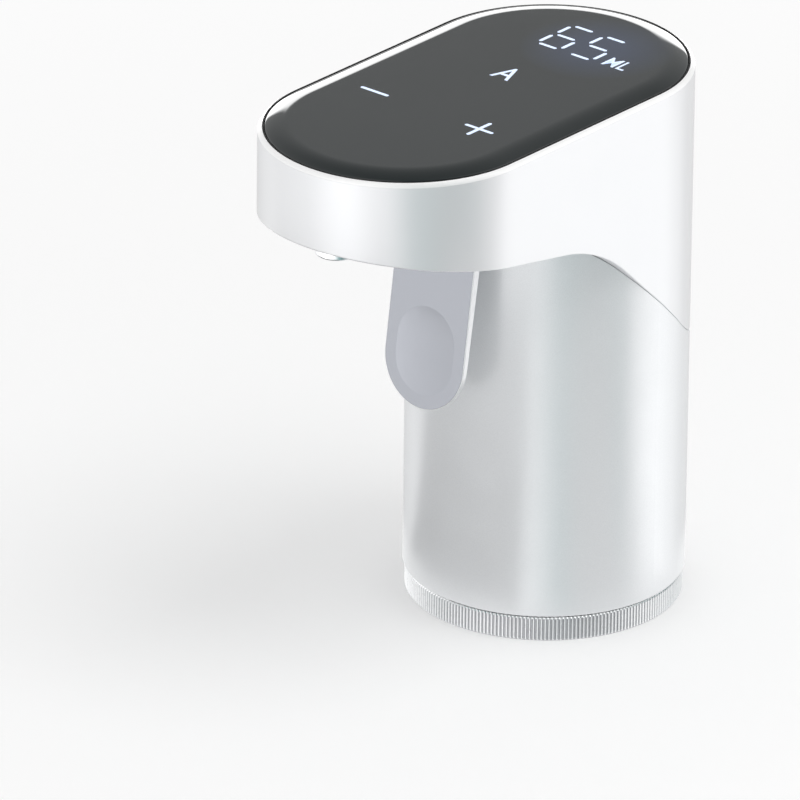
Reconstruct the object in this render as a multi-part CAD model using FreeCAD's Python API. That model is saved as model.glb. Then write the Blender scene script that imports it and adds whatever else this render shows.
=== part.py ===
import FreeCAD, Part
import math
import os

V = FreeCAD.Vector
os.makedirs("parts", exist_ok=True)

# Electric wine aerator that stands on a bottle's neck. Millimetres, +Z up.
# The origin is the centre of the neck socket's mouth, in the plane the base ring stands on.
# The spout points to -Y, the charging port to +Y.

# Head and column
body_radius = 27.0
arm_length = 43.4
total_height = 109.7
shell_wall = 2.0
column_wall = 1.8
column_round = 0.5
rim_round = 0.8
seam_round = 0.3

# Clearances
press_gap = 0.02
pin_gap = 0.03
fit_gap = 0.05
running_gap = 0.06
seat_gap = 0.1
seam_gap = 0.12
body_gap = 0.3

# Seam between head and column, seen from the side, as depths below the top: the underside's at the
# nozzle, the others at the column's axis
nose_depth = 18.366
underside_slope = 0.182
skirt_depth = 43.13
skirt_slope = 0.9325
rear_seam_depth = 58.2
front_bend = 34.8
rear_bend = 27.5
cover_thickness = 1.7
cover_rear = -8.0
spigot_height = 4.0
spigot_wall = 1.2

# Touch panel and what lies under it. Minus and plus are placed from the front end's centre
rim_width = 1.1
panel_thickness = 2.4
panel_fall_radius = 10.0
panel_fall_width = 4.55
panel_proud = 1.1
gasket_thickness = 0.3
ledge_width = 1.8
ledge_thickness = 1.7
board_thickness = 1.2
board_drop = 6.2
board_edge_gap = 0.3
mask_thickness = 1.2
window_radius = 3.2
minus_place = (-13.0, 7.3)
plus_place = (12.9, 6.7)
auto_place = (0.1, -13.2)
display_place = (4.9, 7.4)
display_width = 22.0
display_depth = 13.0
display_chamfer = 0.4
touch_spring_radius = 2.4
touch_spring_wire = 0.25
touch_spring_turns = 4
coil_steps = 8
diffuser_radius = 1.7
led_width = 2.0
led_height = 0.8

# Parts soldered to the board: width, depth, height and place of each
controller_chip = (8.0, 8.0, 1.2, -1.0, -23.0)
driver_chip = (5.0, 4.0, 1.5, 9.5, -20.0)
charger_chip = (5.0, 3.0, 1.1, -11.5, -18.5)
buzzer = (7.0, 6.0, 2.0, -14.5, 7.0)
connector = (6.0, 4.0, 2.4, 0.0, -11.6)
large_capacitor = (2.5, 3.6, 5.0, -2.6)
small_capacitor = (2.0, 3.2, -6.0, -3.6)

# Screws that hold board, head and frame together
pillar_radius = 2.7
pillar_inset = 4.2
pillar_height = 3.4
pillar_rib = 3.0
screw_radius = 0.9
screw_length = 8.0
screw_head_radius = 1.8
screw_head_height = 1.3
screw_clearance = 0.05
screw_tip_gap = 0.3
screw_head_gap = 0.4
cross_width = 2.2
cross_slot = 0.5
cross_low = 0.5
rear_pillar_angle = 64.0
middle_pillar_inset = 7.0
front_pillar_angle = 20.0

# Base: knurled ring, neck socket and stopper
ring_height = 4.75
ring_inset = 0.4
ring_groove = 0.3
ring_teeth = 224
ring_web = 1.4
sleeve_bore = 16.2
sleeve_wall = 1.8
sleeve_height = 31.0
sleeve_web = 1.6
flange_inset = 3.6
lug_count = 3
lug_reach = 2.3
lug_low = 8.5
lug_height = 2.5
lug_half_angle = 8.0
lug_centre_angle = 40.5
lug_play = 1.5
twist_angle = 35.0
collar_height = 10.0
collar_lip = 1.45
collar_lip_inset = 0.9
collar_screw_count = 3
collar_screw_inset = 3.6
collar_screw_seat = 2.7
collar_screw_length = 14.0
collar_screw_hole = 9.0
stopper_length = 21.2
stopper_flange = 2.6
stopper_top_radius = 9.2
stopper_tip_radius = 8.7
stopper_ribs = 3
stopper_rib = 0.4
stopper_rib_foot = 0.9
stopper_rib_crest = 0.2
core_radius = 3.0
core_bore = 1.5
core_foot_radius = 5.0
core_foot_height = 1.4
core_nose_radius = 1.9
core_nose_top_radius = 2.5
core_tip_height = 1.2
core_head_room = 1.1
core_groove_depth = 0.9
core_groove_width = 1.0
seal_thickness = 0.86
nut_flats = 9.0
nut_height = 2.3
vent_place = 7.3
vent_radius = 0.7
valve_radius = 1.9
valve_height = 0.8
valve_round = 0.35

# Inner frame
frame_rise = 3.0
floor_thickness = 2.0
leg_sink = 0.5
pump_post_radius = 2.0
pump_post_place = 9.5
pump_post_angles = (100.0, 190.0, 250.0)
charge_post_radius = 1.6
charge_post_place = 5.0
charge_post_inset = 7.0
elbow_radius = 4.5
elbow_bore = 1.2
elbow_flange_radius = 5.5
elbow_flange_height = 1.2

# Pump
pump_radius = 12.9
pump_track = 11.4
pump_floor = 1.4
pump_inner_height = 11.2
pump_cover_thickness = 1.4
pump_bearing_floor = 0.5
gate_gap = 0.15
gate_length = 12.0
rotor_radius = 9.2
rotor_hub_radius = 3.0
rotor_disc = 0.9
rotor_clearance = 0.4
roller_radius = 2.4
roller_pin_radius = 0.75
roller_end_gap = 0.15
roller_count = 3
roller_start_angle = 90.0

# Motor
motor_radius = 12.2
motor_wall = 0.8
motor_length = 28.0
motor_boss_radius = 3.2
motor_boss_height = 1.8
motor_cap_thickness = 1.8
motor_cap_sink = 1.2
motor_cap_boss = 3.0
motor_tab_place = 7.5
motor_tab_width = 2.0
motor_tab_thickness = 0.5
motor_tab_height = 4.5
shaft_radius = 1.0
magnet_inner = 9.9
magnet_sweep = 140.0
magnet_low_inset = 4.5
magnet_high_inset = 4.0
armature_radius = 9.4
armature_hub_radius = 3.4
armature_low_inset = 1.0
armature_high_inset = 1.5
pole_count = 3
pole_width = 2.8
shoe_thickness = 1.3
shoe_sweep = 100.0
coil_inner = 3.6
coil_width = 7.2
coil_overhang = 1.2
coil_round = 0.9
commutator_radius = 2.6
commutator_neck_radius = 1.8
commutator_rise = 1.4
commutator_top_gap = 1.6

# Battery
battery_turn = 1.5
battery_radius = 7.0
battery_length = 49.0
battery_round = 0.6
battery_cap_radius = 2.6
battery_cap_height = 1.0
cradle_wall = 1.2
cradle_gap = 0.2
cradle_sweep = 220.0
cradle_height = 34.3
elbow_clearance = 0.5
lead_radius = 0.5
lead_spread = 1.2

# Hoses
hose_radius = 2.1
hose_bore = 1.5
squeeze_play = 0.5
squeezed_sweep = 215.0
inlet_floor_gap = 1.4
inlet_pump_gap = 0.4
barb_bore = 0.9
flat_length = 6.0
flat_out_length = 5.5
joiner_reach = 1.8
outlet_reach = 8.2
riser_reach = 6.2
riser_foot_bend = 4.2
riser_bend = 6.0
front_hose_bends = (6.0, 5.0)
outlet_roof_gap = 0.6
hose_swing_start = 18.0
hose_swing_end = 11.5

# Spout
spout_inset = 8.4
nozzle_radius = 4.0
nozzle_bore = 3.0
nozzle_flange = 5.0
nozzle_flange_height = 1.2
nozzle_proud = 2.2
nozzle_round = 0.45
screen_thickness = 0.4
screen_hole = 0.35
screen_pitch = 1.1
screen_inset = 0.6
aerator_radius = 5.0
aerator_bore = 2.2
aerator_roof = 1.2
aerator_barb = 3.0
air_hole_radius = 0.5
air_hole_rise = 1.0
barb_root = 0.5

# Dispensing lever and its switch
lever_width = 19.2
lever_round = 9.6
lever_length = 41.8
lever_stand_off = 5.55
lever_lean = 0.14
lever_lean_drop = 5.0
lever_thick_top = 2.0
lever_thick_tip = 1.0
lever_edge = 0.15
lever_dish_radius = 7.1
lever_dish_length = 4.6
lever_dish_depth = 0.65
lever_spring_room = 4.0
lever_spring_relief = 3.4
lever_slot_gap = 0.4
lever_slot_front = 0.8
lever_slot_width = 4.2
pivot_inset = 1.65
pivot_rise = 5.33
hub_radius = 2.1
pin_radius = 1.0
ear_thickness = 2.0
ear_gap = 0.6
tail_height = 6.0
tail_width = 8.0
hook_inner = 4.0
hook_outer = 9.4
hook_low = 3.2
hook_top_gap = 0.6
spring_wire = 0.25
spring_coil = 1.55
spring_turns = 4
spring_pitch = 0.75
spring_start = 6.6
spring_foot_reach = 3.2
spring_hook_rise = 4.4
switch_width = 12.8
switch_depth = 5.8
switch_height = 6.5
switch_chamfer = 0.3
switch_head = 1.8
plunger_radius = 0.9
plunger_rise = 4.2
plunger_gap = 0.15
plunger_reach = 1.25
plunger_sink = 2.0
plunger_well = 3.0

# Charging port
port_level = 46.6
port_width = 8.94
port_height = 3.26
port_length = 7.4
port_recess = 1.1
port_shell = 0.3
port_wall_gap = 0.35
port_back = 1.0
tongue_width = 6.6
tongue_thickness = 0.7
tongue_inset = 1.2
charge_board_thickness = 1.0
charge_board_width = 12.0
charge_board_inset = 1.4
charge_board_depth = 9.6
charge_lead_spread = 1.0
charge_lead_inset = 1.2

# Derived levels of the head
rim_top = total_height - panel_proud
panel_low = total_height - panel_thickness
gasket_low = panel_low - gasket_thickness
ledge_low = gasket_low - ledge_thickness
board_top = gasket_low - board_drop
board_low = board_top - board_thickness
pillar_low = board_low - pillar_height
spout_place = spout_inset - arm_length - body_radius
underside_height = total_height - nose_depth + underside_slope * spout_place
skirt_height = total_height - skirt_depth
rear_seam_height = total_height - rear_seam_depth
screw_tip = board_top - screw_length - screw_tip_gap

# Derived radii
head_inner = body_radius - shell_wall
column_inner = body_radius - column_wall
spigot_outer = head_inner - seat_gap
panel_radius = body_radius - rim_width
ledge_radius = head_inner - ledge_width
board_radius = ledge_radius - board_edge_gap
pillar_reach = head_inner - pillar_inset
ring_radius = body_radius - ring_inset
flange_radius = ring_radius - flange_inset
collar_lip_radius = body_radius - collar_lip_inset
collar_screw_place = column_inner - collar_screw_inset
sleeve_outer = sleeve_bore + sleeve_wall
barb_radius = hose_bore - fit_gap
screw_hole = screw_radius + screw_clearance

# Derived levels of the column
shell_low = ring_height + body_gap
collar_top = shell_low + collar_height
web_low = sleeve_height - sleeve_web
stopper_high = web_low - stopper_flange
stopper_low = stopper_high - stopper_length
frame_floor = sleeve_height + frame_rise
frame_top = frame_floor + floor_thickness
inlet_level = frame_top + hose_radius + inlet_floor_gap
core_top = inlet_level - core_head_room
pump_low = inlet_level + hose_radius + inlet_pump_gap
pump_cover_low = pump_low + pump_floor + pump_inner_height
motor_low = pump_cover_low + pump_cover_thickness
motor_high = motor_low + motor_length
charge_low = port_level - port_height / 2 - charge_board_thickness

# Derived places of pump, hoses and battery: the inlet hose runs straight in front of the elbow
squeezed_width = 2 * (hose_radius - hose_bore) + squeeze_play
squeezed_height = math.pi * (hose_radius + hose_bore) / 2
hose_ring = pump_track - squeezed_width / 2
hose_level = pump_low + pump_floor + pump_inner_height / 2
hose_bend = (hose_level - inlet_level - seat_gap) / 2
roller_place = pump_track - squeezed_width - roller_radius - seat_gap
pump_place = (-hose_ring, 0.0)
cradle_outer = battery_radius + cradle_gap + cradle_wall
battery_place = (elbow_flange_radius + elbow_clearance + cradle_outer, battery_turn)
outlet_level = board_low - outlet_roof_gap - hose_radius
hose_end = spout_place + aerator_radius + 2 * seat_gap
barb_end = hose_end + aerator_barb

# Derived places of the lever
lever_front = -body_radius - lever_stand_off
pivot_y = lever_front + pivot_inset
pivot_z = underside_height - underside_slope * pivot_y + pivot_rise
lever_end_centre = pivot_z - lever_length + lever_round
plunger_level = pivot_z + plunger_rise
tail_front = pivot_y - lever_thick_top / 2
switch_front = tail_front - plunger_gap - plunger_reach - switch_depth
switch_low = plunger_level + switch_head - switch_height
slot_front = lever_front - lever_slot_front
nozzle_seat = underside_height - underside_slope * spout_place + cover_thickness
nozzle_low = nozzle_seat - cover_thickness - nozzle_proud
key_places = (
    (minus_place[0], minus_place[1] - arm_length),
    (plus_place[0], plus_place[1] - arm_length),
    auto_place,
)


def rod(radius, low, high, x=0.0, y=0.0):
    """Upright round bar."""
    return Part.makeCylinder(radius, high - low, V(x, y, low))


def ring(outer, inner, low, high, x=0.0, y=0.0):
    """Upright tube."""
    return rod(outer, low, high, x, y).cut(rod(inner, low - 1, high + 1, x, y))


def bar(radius, start, end):
    """Round bar between two points."""
    way = end - start
    return Part.makeCylinder(radius, way.Length, start, way)


def block(x_low, x_high, y_low, y_high, z_low, z_high):
    """Square-edged block."""
    corner = V(x_low, y_low, z_low)
    return Part.makeBox(x_high - x_low, y_high - y_low, z_high - z_low, corner)


def plate(width, depth, low, high, x=0.0, y=0.0):
    """Square-edged block around an upright axis."""
    return block(x - width / 2, x + width / 2, y - depth / 2, y + depth / 2, low, high)


def sector(outer, inner, low, high, start, sweep, x=0.0, y=0.0):
    """Part of a tube's turn, from the start angle over the sweep, in degrees."""
    wedge = Part.makeCylinder(outer, high - low, V(x, y, low), V(0, 0, 1), sweep)
    wedge.rotate(V(x, y, 0), V(0, 0, 1), start)
    return wedge.cut(rod(inner, low - 1, high + 1, x, y))


def turned(shape, angle, x=0.0, y=0.0):
    """The shape turned about the origin's upright axis, then moved."""
    shape.rotate(V(0, 0, 0), V(0, 0, 1), angle)
    shape.translate(V(x, y, 0))
    return shape


def around(radius, angle):
    """Plan place at a radius and an angle from the column's axis."""
    turn = math.radians(angle)
    return radius * math.cos(turn), radius * math.sin(turn)


def slot_prism(radius, low, high):
    """The head's plan outline, round at both ends, from one level to another."""
    side = V(radius, 0, low)
    other_side = V(-radius, 0, low)
    front_side = V(radius, -arm_length, low)
    other_front = V(-radius, -arm_length, low)
    edges = [
        Part.LineSegment(side, front_side).toShape(),
        Part.Arc(front_side, V(0, -arm_length - radius, low), other_front).toShape(),
        Part.LineSegment(other_front, other_side).toShape(),
        Part.Arc(other_side, V(0, radius, low), side).toShape(),
    ]
    return Part.Face(Part.Wire(edges)).extrude(V(0, 0, high - low))


def rounded_path(points, bends):
    """Edges along the points, with a tangent arc of the given radius at each inner point."""
    edges = []
    start = points[0]
    for before, corner, after, radius in zip(points, points[1:], points[2:], bends):
        back = (before - corner).normalize()
        ahead = (after - corner).normalize()
        half = back.getAngle(ahead) / 2
        reach = radius / math.tan(half)
        middle = corner + (back + ahead).normalize() * (radius / math.sin(half) - radius)
        entry = corner + back * reach
        leave = corner + ahead * reach
        edges.append(Part.LineSegment(start, entry).toShape())
        edges.append(Part.Arc(entry, middle, leave).toShape())
        start = leave
    edges.append(Part.LineSegment(start, points[-1]).toShape())
    return edges


def pipe(points, bends, radius):
    """Solid round pipe along a path with tangent arcs."""
    path = Part.Wire(rounded_path(points, bends))
    circle = Part.Wire(Part.makeCircle(radius, points[0], points[1] - points[0]))
    return path.makePipeShell([circle], True, False)


def hose(points, bends):
    """Soft hose with its bore."""
    return pipe(points, bends, hose_radius).cut(pipe(points, bends, hose_bore))


def coil(radius, wire, pitch, turns):
    """Solid coil spring round +Z that starts at the origin's level, its path made of arcs."""
    points = []
    for step in range(coil_steps * turns + 1):
        angle = 2 * math.pi * step / coil_steps
        height = pitch * step / coil_steps
        points.append(V(radius * math.cos(angle), radius * math.sin(angle), height))
    edges = []
    for start, middle, end in zip(points[::2], points[1::2], points[2::2]):
        edges.append(Part.Arc(start, middle, end).toShape())
    circle = Part.Wire(Part.makeCircle(wire, points[0], V(0, 1, 0)))
    return Part.Wire(edges).makePipeShell([circle], True, False)


def under_seam(lift):
    """Everything below the seam of head and column, moved up by lift."""
    reach = body_radius + 10
    front = -arm_length - reach
    front_corner = (underside_height - skirt_height) / (underside_slope - skirt_slope)
    rear_corner = (skirt_height - rear_seam_height) / skirt_slope
    points = [
        V(-reach, front, underside_level(front) + lift),
        V(-reach, front_corner, underside_level(front_corner) + lift),
        V(-reach, rear_corner, rear_seam_height + lift),
        V(-reach, reach, rear_seam_height + lift),
    ]
    edges = rounded_path(points, [front_bend, rear_bend])
    low_front = V(-reach, front, -reach)
    low_rear = V(-reach, reach, -reach)
    edges.append(Part.LineSegment(points[-1], low_rear).toShape())
    edges.append(Part.LineSegment(low_rear, low_front).toShape())
    edges.append(Part.LineSegment(low_front, points[0]).toShape())
    return Part.Face(Part.Wire(edges)).extrude(V(2 * reach, 0, 0))


def underside_level(y):
    """Height of the sloping underside at a place along the head."""
    return underside_height - underside_slope * y


def edges_at(shape, level):
    """Edges of a shape that lie flat at one level."""
    flat = []
    for edge in shape.Edges:
        box = edge.BoundBox
        if abs(box.ZMin - level) < 1e-4 and abs(box.ZMax - level) < 1e-4:
            flat.append(edge)
    return flat


def edges_along(shape):
    """Edges of a block that run along Y."""
    along = []
    for edge in shape.Edges:
        if edge.BoundBox.YLength > 1:
            along.append(edge)
    return along


def skin_edges(shape, radius, high):
    """Edges on the head's outer skin that lie wholly below a level."""
    found = []
    for edge in shape.Edges:
        if edge.BoundBox.ZMax > high:
            continue
        distances = []
        for point in edge.discretize(5):
            to_axis = min(max(point.y, -arm_length), 0.0)
            distances.append(math.hypot(point.x, point.y - to_axis))
        if min(distances) > radius - 1e-3:
            found.append(edge)
    return found


def pillar_places():
    """Places and angles of the six case screws: the frame's two, then the cover's four."""
    front = -arm_length
    middle = middle_pillar_inset - body_radius
    groups = (
        (rear_pillar_angle, 0.0),
        (180 - rear_pillar_angle, 0.0),
        (0.0, middle),
        (180.0, middle),
        (-front_pillar_angle, front),
        (180 + front_pillar_angle, front),
    )
    places = []
    for angle, centre in groups:
        x, y = around(pillar_reach, angle)
        places.append((x, centre + y, angle))
    return places


def save(name, *solids):
    """Write one sub-part, as one solid or a group of solids."""
    shapes = []
    for solid in solids:
        shapes.extend(solid.Solids)
    shape = shapes[0] if len(shapes) == 1 else Part.makeCompound(shapes)
    if not shape.isValid():
        print("not valid:", name)
    shape.exportStep("parts/" + name + ".step")
    print(name, len(shapes), round(sum(solid.Volume for solid in shapes), 2))


def make_upper_shell():
    """White head with its rear skirt, open below, with a recess for the touch panel."""
    shell = slot_prism(body_radius, 0, rim_top)
    shell = shell.makeFillet(rim_round, edges_at(shell, rim_top))
    shell = shell.cut(slot_prism(head_inner, -1, ledge_low))
    shell = shell.cut(slot_prism(ledge_radius, ledge_low - 1, gasket_low + 1))
    shell = shell.cut(slot_prism(panel_radius + seat_gap, gasket_low, rim_top + 1))
    shell = shell.cut(under_seam(0))
    shell = shell.makeFillet(seam_round, skin_edges(shell, body_radius, ledge_low))
    rib_reach = body_radius - pillar_reach - shell_wall / 2
    for x, y, angle in pillar_places():
        rib = block(0, rib_reach, -pillar_rib / 2, pillar_rib / 2, pillar_low, board_low)
        shell = shell.fuse(rod(pillar_radius, pillar_low, board_low, x, y)).fuse(turned(rib, angle, x, y))
    for x, y, angle in pillar_places():
        shell = shell.cut(rod(screw_hole, pillar_low - 1, board_low + 1, x, y))
    save("upper_shell", shell.removeSplitter())


def make_underside_cover():
    """Sloping floor of the head, with the ears of the lever, the switch seat and screw bosses."""
    cover = slot_prism(spigot_outer, 0, total_height)
    band = under_seam(cover_thickness).cut(under_seam(0))
    cover = cover.common(band).cut(rod(head_inner, 0, total_height))
    cover = cover.cut(block(-body_radius, body_radius, cover_rear, body_radius, 0, total_height))
    cover = cover.Solids[0]
    rear = -2 * body_radius - arm_length
    above = block(-body_radius, body_radius, rear, body_radius, 0, total_height)
    above = above.cut(under_seam(cover_thickness / 2))
    for x, y, angle in pillar_places()[2:]:
        cover = cover.fuse(rod(pillar_radius, 0, pillar_low, x, y).common(above))
    ear_inner = lever_width / 2 + ear_gap
    for side in (-1, 1):
        low, high = sorted((side * ear_inner, side * (ear_inner + ear_thickness)))
        ear = block(low, high, pivot_y - hub_radius, pivot_y + hub_radius, 0, pivot_z)
        cap = bar(hub_radius, V(low, pivot_y, pivot_z), V(high, pivot_y, pivot_z))
        cover = cover.fuse(ear.fuse(cap).common(above))
    half_switch = switch_width / 2
    seat = block(-half_switch, half_switch, switch_front, switch_front + switch_depth, 0, switch_low)
    cover = cover.fuse(seat.common(above))
    half_slot = lever_width / 2 + lever_slot_gap
    cover = cover.cut(block(-half_slot, half_slot, slot_front, slot_front + lever_slot_width, 0, pivot_z))
    cover = cover.cut(rod(nozzle_radius + seat_gap, 0, total_height, 0, spout_place))
    cover = cover.cut(rod(nozzle_flange + seat_gap, nozzle_seat, total_height, 0, spout_place))
    left = V(-body_radius, pivot_y, pivot_z)
    cover = cover.cut(bar(pin_radius + pin_gap, left, V(body_radius, pivot_y, pivot_z)))
    for x, y, angle in pillar_places()[2:]:
        cover = cover.cut(rod(screw_hole, screw_tip, pillar_low + 1, x, y))
    save("underside_cover", cover.removeSplitter())


def make_touch_panel():
    """Tinted panel whose upper face curves down to the rim all round, and the adhesive ring under it."""
    flat = panel_radius - panel_fall_width
    turn = math.asin(panel_fall_width / panel_fall_radius)
    brow = total_height - panel_fall_radius * (1 - math.cos(turn))
    halfway = V(
        flat + panel_fall_radius * math.sin(turn / 2),
        0,
        total_height - panel_fall_radius * (1 - math.cos(turn / 2)),
    )
    corners = [V(flat, 0, total_height), V(0, 0, total_height), V(0, 0, panel_low)]
    corners += [V(panel_radius, 0, panel_low), V(panel_radius, 0, brow)]
    outline = [Part.makeLine(start, end) for start, end in zip(corners, corners[1:])]
    outline.append(Part.Arc(corners[-1], halfway, corners[0]).toShape())
    half = Part.Face(Part.Wire(outline))
    up = V(0, 0, 1)
    ahead = V(0, -arm_length, 0)
    right = half.extrude(ahead)
    left = right.mirror(V(0, 0, 0), V(1, 0, 0))
    front = half.revolve(V(0, 0, 0), up, -180).translated(ahead)
    panel = half.revolve(V(0, 0, 0), up, 180).fuse([front, right, left])
    save("touch_panel", panel.removeSplitter())
    gasket = slot_prism(panel_radius - seat_gap, gasket_low, panel_low)
    save("panel_gasket", gasket.cut(slot_prism(ledge_radius + seat_gap, gasket_low - 1, panel_low + 1)))


def make_light_guide_frame():
    """Black tray between board and panel, with a window for each mark and the display."""
    tray = slot_prism(board_radius, board_top, gasket_low)
    tray = tray.cut(slot_prism(board_radius - mask_thickness, board_top - 1, gasket_low - mask_thickness))
    head_room = board_top + screw_head_height + screw_head_gap
    for x, y, angle in pillar_places():
        tray = tray.cut(rod(screw_head_radius + screw_head_gap, board_top - 1, head_room, x, y))
    for x, y in key_places:
        tray = tray.cut(rod(window_radius, board_top, total_height, x, y))
    x, y = display_place
    window = plate(display_width + 2 * body_gap, display_depth + 2 * body_gap, board_top, total_height, x, y)
    save("light_guide_frame", tray.cut(window))


def make_display():
    """Segment display module, with its face just under the panel."""
    high = panel_low - seat_gap
    body = plate(display_width, display_depth, board_top, high, *display_place)
    save("display_module", body.makeChamfer(display_chamfer, edges_at(body, high)))


def make_touch_keys():
    """Contact springs, light pipes and their lamps under the three marks."""
    springs = []
    pipes = []
    lamps = []
    low = board_top + touch_spring_wire
    rise = panel_low - touch_spring_wire - fit_gap - low
    for x, y in key_places:
        pitch = rise / touch_spring_turns
        spring = coil(touch_spring_radius, touch_spring_wire, pitch, touch_spring_turns)
        spring.translate(V(x, y, low))
        springs.append(spring)
        lamps.append(plate(led_width, led_width, board_top, board_top + led_height, x, y))
        pipes.append(rod(diffuser_radius, board_top + led_height, panel_low - seat_gap, x, y))
    save("touch_springs", *springs)
    save("touch_leds", *lamps)
    save("icon_diffusers", *pipes)


def make_control_board():
    """Control board and the parts soldered to it."""
    board = slot_prism(board_radius, board_low, board_top)
    for x, y, angle in pillar_places():
        board = board.cut(rod(screw_hole, board_low - 1, board_top + 1, x, y))
    save("control_board", board)
    parts = []
    for width, depth, height, x, y in (controller_chip, driver_chip, charger_chip, buzzer):
        parts.append(plate(width, depth, board_top, board_top + height, x, y))
    width, depth, height, x, y = connector
    parts.append(plate(width, depth, board_top, board_top + height, x, y - arm_length))
    for radius, height, x, y in (large_capacitor, small_capacitor):
        parts.append(rod(radius, board_top, board_top + height, x, y - arm_length))
    save("board_components", *parts)


def make_case_screws():
    """Six screws through board and head into the cover's bosses and the frame's columns."""
    screws = []
    for x, y, angle in pillar_places():
        head_top = board_top + screw_head_height
        head = rod(screw_head_radius, board_top, head_top, x, y)
        cross = plate(cross_width, cross_slot, board_top + cross_low, head_top + 1, x, y)
        cross = cross.fuse(plate(cross_slot, cross_width, board_top + cross_low, head_top + 1, x, y))
        shank = rod(screw_radius, board_top - screw_length, board_top + cross_low / 2, x, y)
        screws.append(head.cut(cross).fuse(shank))
    save("case_screws", *screws)


def make_lower_shell():
    """Round column with a spigot that centres the head, and the charging port's opening."""
    tube = rod(body_radius, shell_low, total_height)
    tube = tube.makeFillet(column_round, edges_at(tube, shell_low))
    tube = tube.cut(rod(column_inner, 0, total_height + 1))
    tube = tube.common(under_seam(-seam_gap))
    spigot_inner = spigot_outer - spigot_wall
    spigot_low = rear_seam_height - spigot_height
    spigot = ring(spigot_outer, spigot_inner, spigot_low, total_height)
    spigot = spigot.common(under_seam(spigot_height)).cut(under_seam(-spigot_height))
    joint = ring(column_inner + 2 * seat_gap, spigot_inner, spigot_low, total_height)
    joint = joint.common(under_seam(-spigot_wall)).cut(under_seam(-spigot_height))
    tube = tube.fuse(spigot.fuse(joint))
    tube = tube.cut(rod(collar_lip_radius + fit_gap, 0, shell_low + collar_lip))
    half = port_width / 2 + port_wall_gap
    tall = port_height / 2 + port_wall_gap
    mouth = block(-half, half, 0, body_radius + 1, port_level - tall, port_level + tall)
    tube = tube.cut(mouth.makeFillet(tall - fit_gap, edges_along(mouth)))
    save("lower_shell", tube.removeSplitter())


def make_charging():
    """Charging board with its port and its two leads."""
    front = column_inner - charge_board_inset - charge_board_depth
    half_board = charge_board_width / 2
    board_face = charge_low + charge_board_thickness
    back = front + charge_board_depth
    save("charge_board", block(-half_board, half_board, front, back, charge_low, board_face))
    mouth = body_radius - port_recess
    half = port_width / 2
    outer = block(-half, half, mouth - port_length, mouth, board_face, board_face + port_height)
    outer = outer.makeFillet(port_height / 2 - press_gap, edges_along(outer))
    half_bore = half - port_shell
    bore_low = board_face + port_shell
    bore_high = board_face + port_height - port_shell
    inner = block(-half_bore, half_bore, mouth - port_length + port_back, mouth + 1, bore_low, bore_high)
    inner = inner.makeFillet(port_height / 2 - port_shell - press_gap, edges_along(inner))
    tongue_back = mouth - port_length + port_back / 2
    half_tongue = tongue_width / 2
    tongue = block(-half_tongue, half_tongue, tongue_back, mouth - tongue_inset, 0, tongue_thickness)
    tongue.translate(V(0, 0, port_level - tongue_thickness / 2))
    save("usb_port", outer.cut(inner).fuse(tongue))
    wires = []
    lead_y = front + charge_lead_inset
    for x in (-charge_lead_spread, charge_lead_spread):
        wires.append(bar(lead_radius, V(x, lead_y, board_face), V(x, lead_y, board_low)))
    save("charge_leads", *wires)


def collar_screw_angles():
    """Angles of the screws that hold the collar to the frame's legs."""
    return [360 / collar_screw_count * number for number in range(collar_screw_count)]


def make_pump_frame():
    """Inner frame: floor, columns up to the head, legs down to the collar, posts under the pump."""
    frame = rod(column_inner - seat_gap, frame_floor, frame_top)
    for x, y, angle in pillar_places()[:2]:
        frame = frame.fuse(rod(pillar_radius, frame_floor, pillar_low, x, y))
    for angle in collar_screw_angles():
        x, y = around(collar_screw_place, angle)
        frame = frame.fuse(rod(pillar_radius, collar_top, frame_floor + leg_sink, x, y))
        frame = frame.cut(rod(screw_hole, collar_top - 1, collar_top + collar_screw_hole, x, y))
    for angle in pump_post_angles:
        x, y = around(pump_post_place, angle)
        frame = frame.fuse(rod(pump_post_radius, frame_floor, pump_low, pump_place[0] + x, pump_place[1] + y))
    post_y = column_inner - charge_post_inset
    for x in (-charge_post_place, charge_post_place):
        frame = frame.fuse(rod(charge_post_radius, frame_floor, charge_low, x, post_y))
    frame = frame.cut(rod(elbow_radius + seat_gap, frame_floor - 1, frame_top + 1))
    for x, y, angle in pillar_places()[:2]:
        frame = frame.cut(rod(screw_hole, screw_tip, pillar_low + 1, x, y))
    save("pump_frame", frame.removeSplitter())


def make_bayonet_collar():
    """Collar that carries the frame and takes the neck sleeve's lugs with a twist, and its screws."""
    bore = sleeve_outer + body_gap
    collar = ring(column_inner - seat_gap, bore, shell_low, collar_top)
    collar = collar.fuse(ring(collar_lip_radius, bore, shell_low, shell_low + collar_lip - fit_gap))
    groove = sleeve_outer + lug_reach + body_gap
    spread = lug_half_angle + lug_play
    low = lug_low - body_gap
    high = lug_low + lug_height + body_gap
    for turn in range(lug_count):
        centre = lug_centre_angle + 360 / lug_count * turn
        collar = collar.cut(sector(groove, bore - 1, low, high, centre - spread, twist_angle + 2 * spread))
        collar = collar.cut(sector(groove, bore - 1, 0, high, centre + twist_angle - spread, 2 * spread))
    screws = []
    seat = shell_low + collar_screw_seat
    for angle in collar_screw_angles():
        x, y = around(collar_screw_place, angle)
        collar = collar.cut(rod(screw_hole, 0, collar_top + 1, x, y))
        collar = collar.cut(rod(screw_head_radius + seat_gap, 0, seat, x, y))
        head = rod(screw_head_radius, seat - screw_head_height, seat, x, y)
        screws.append(head.fuse(rod(screw_radius, seat - seat_gap, seat + collar_screw_length, x, y)))
    save("bayonet_collar", collar.removeSplitter())
    save("collar_screws", *screws)


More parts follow.
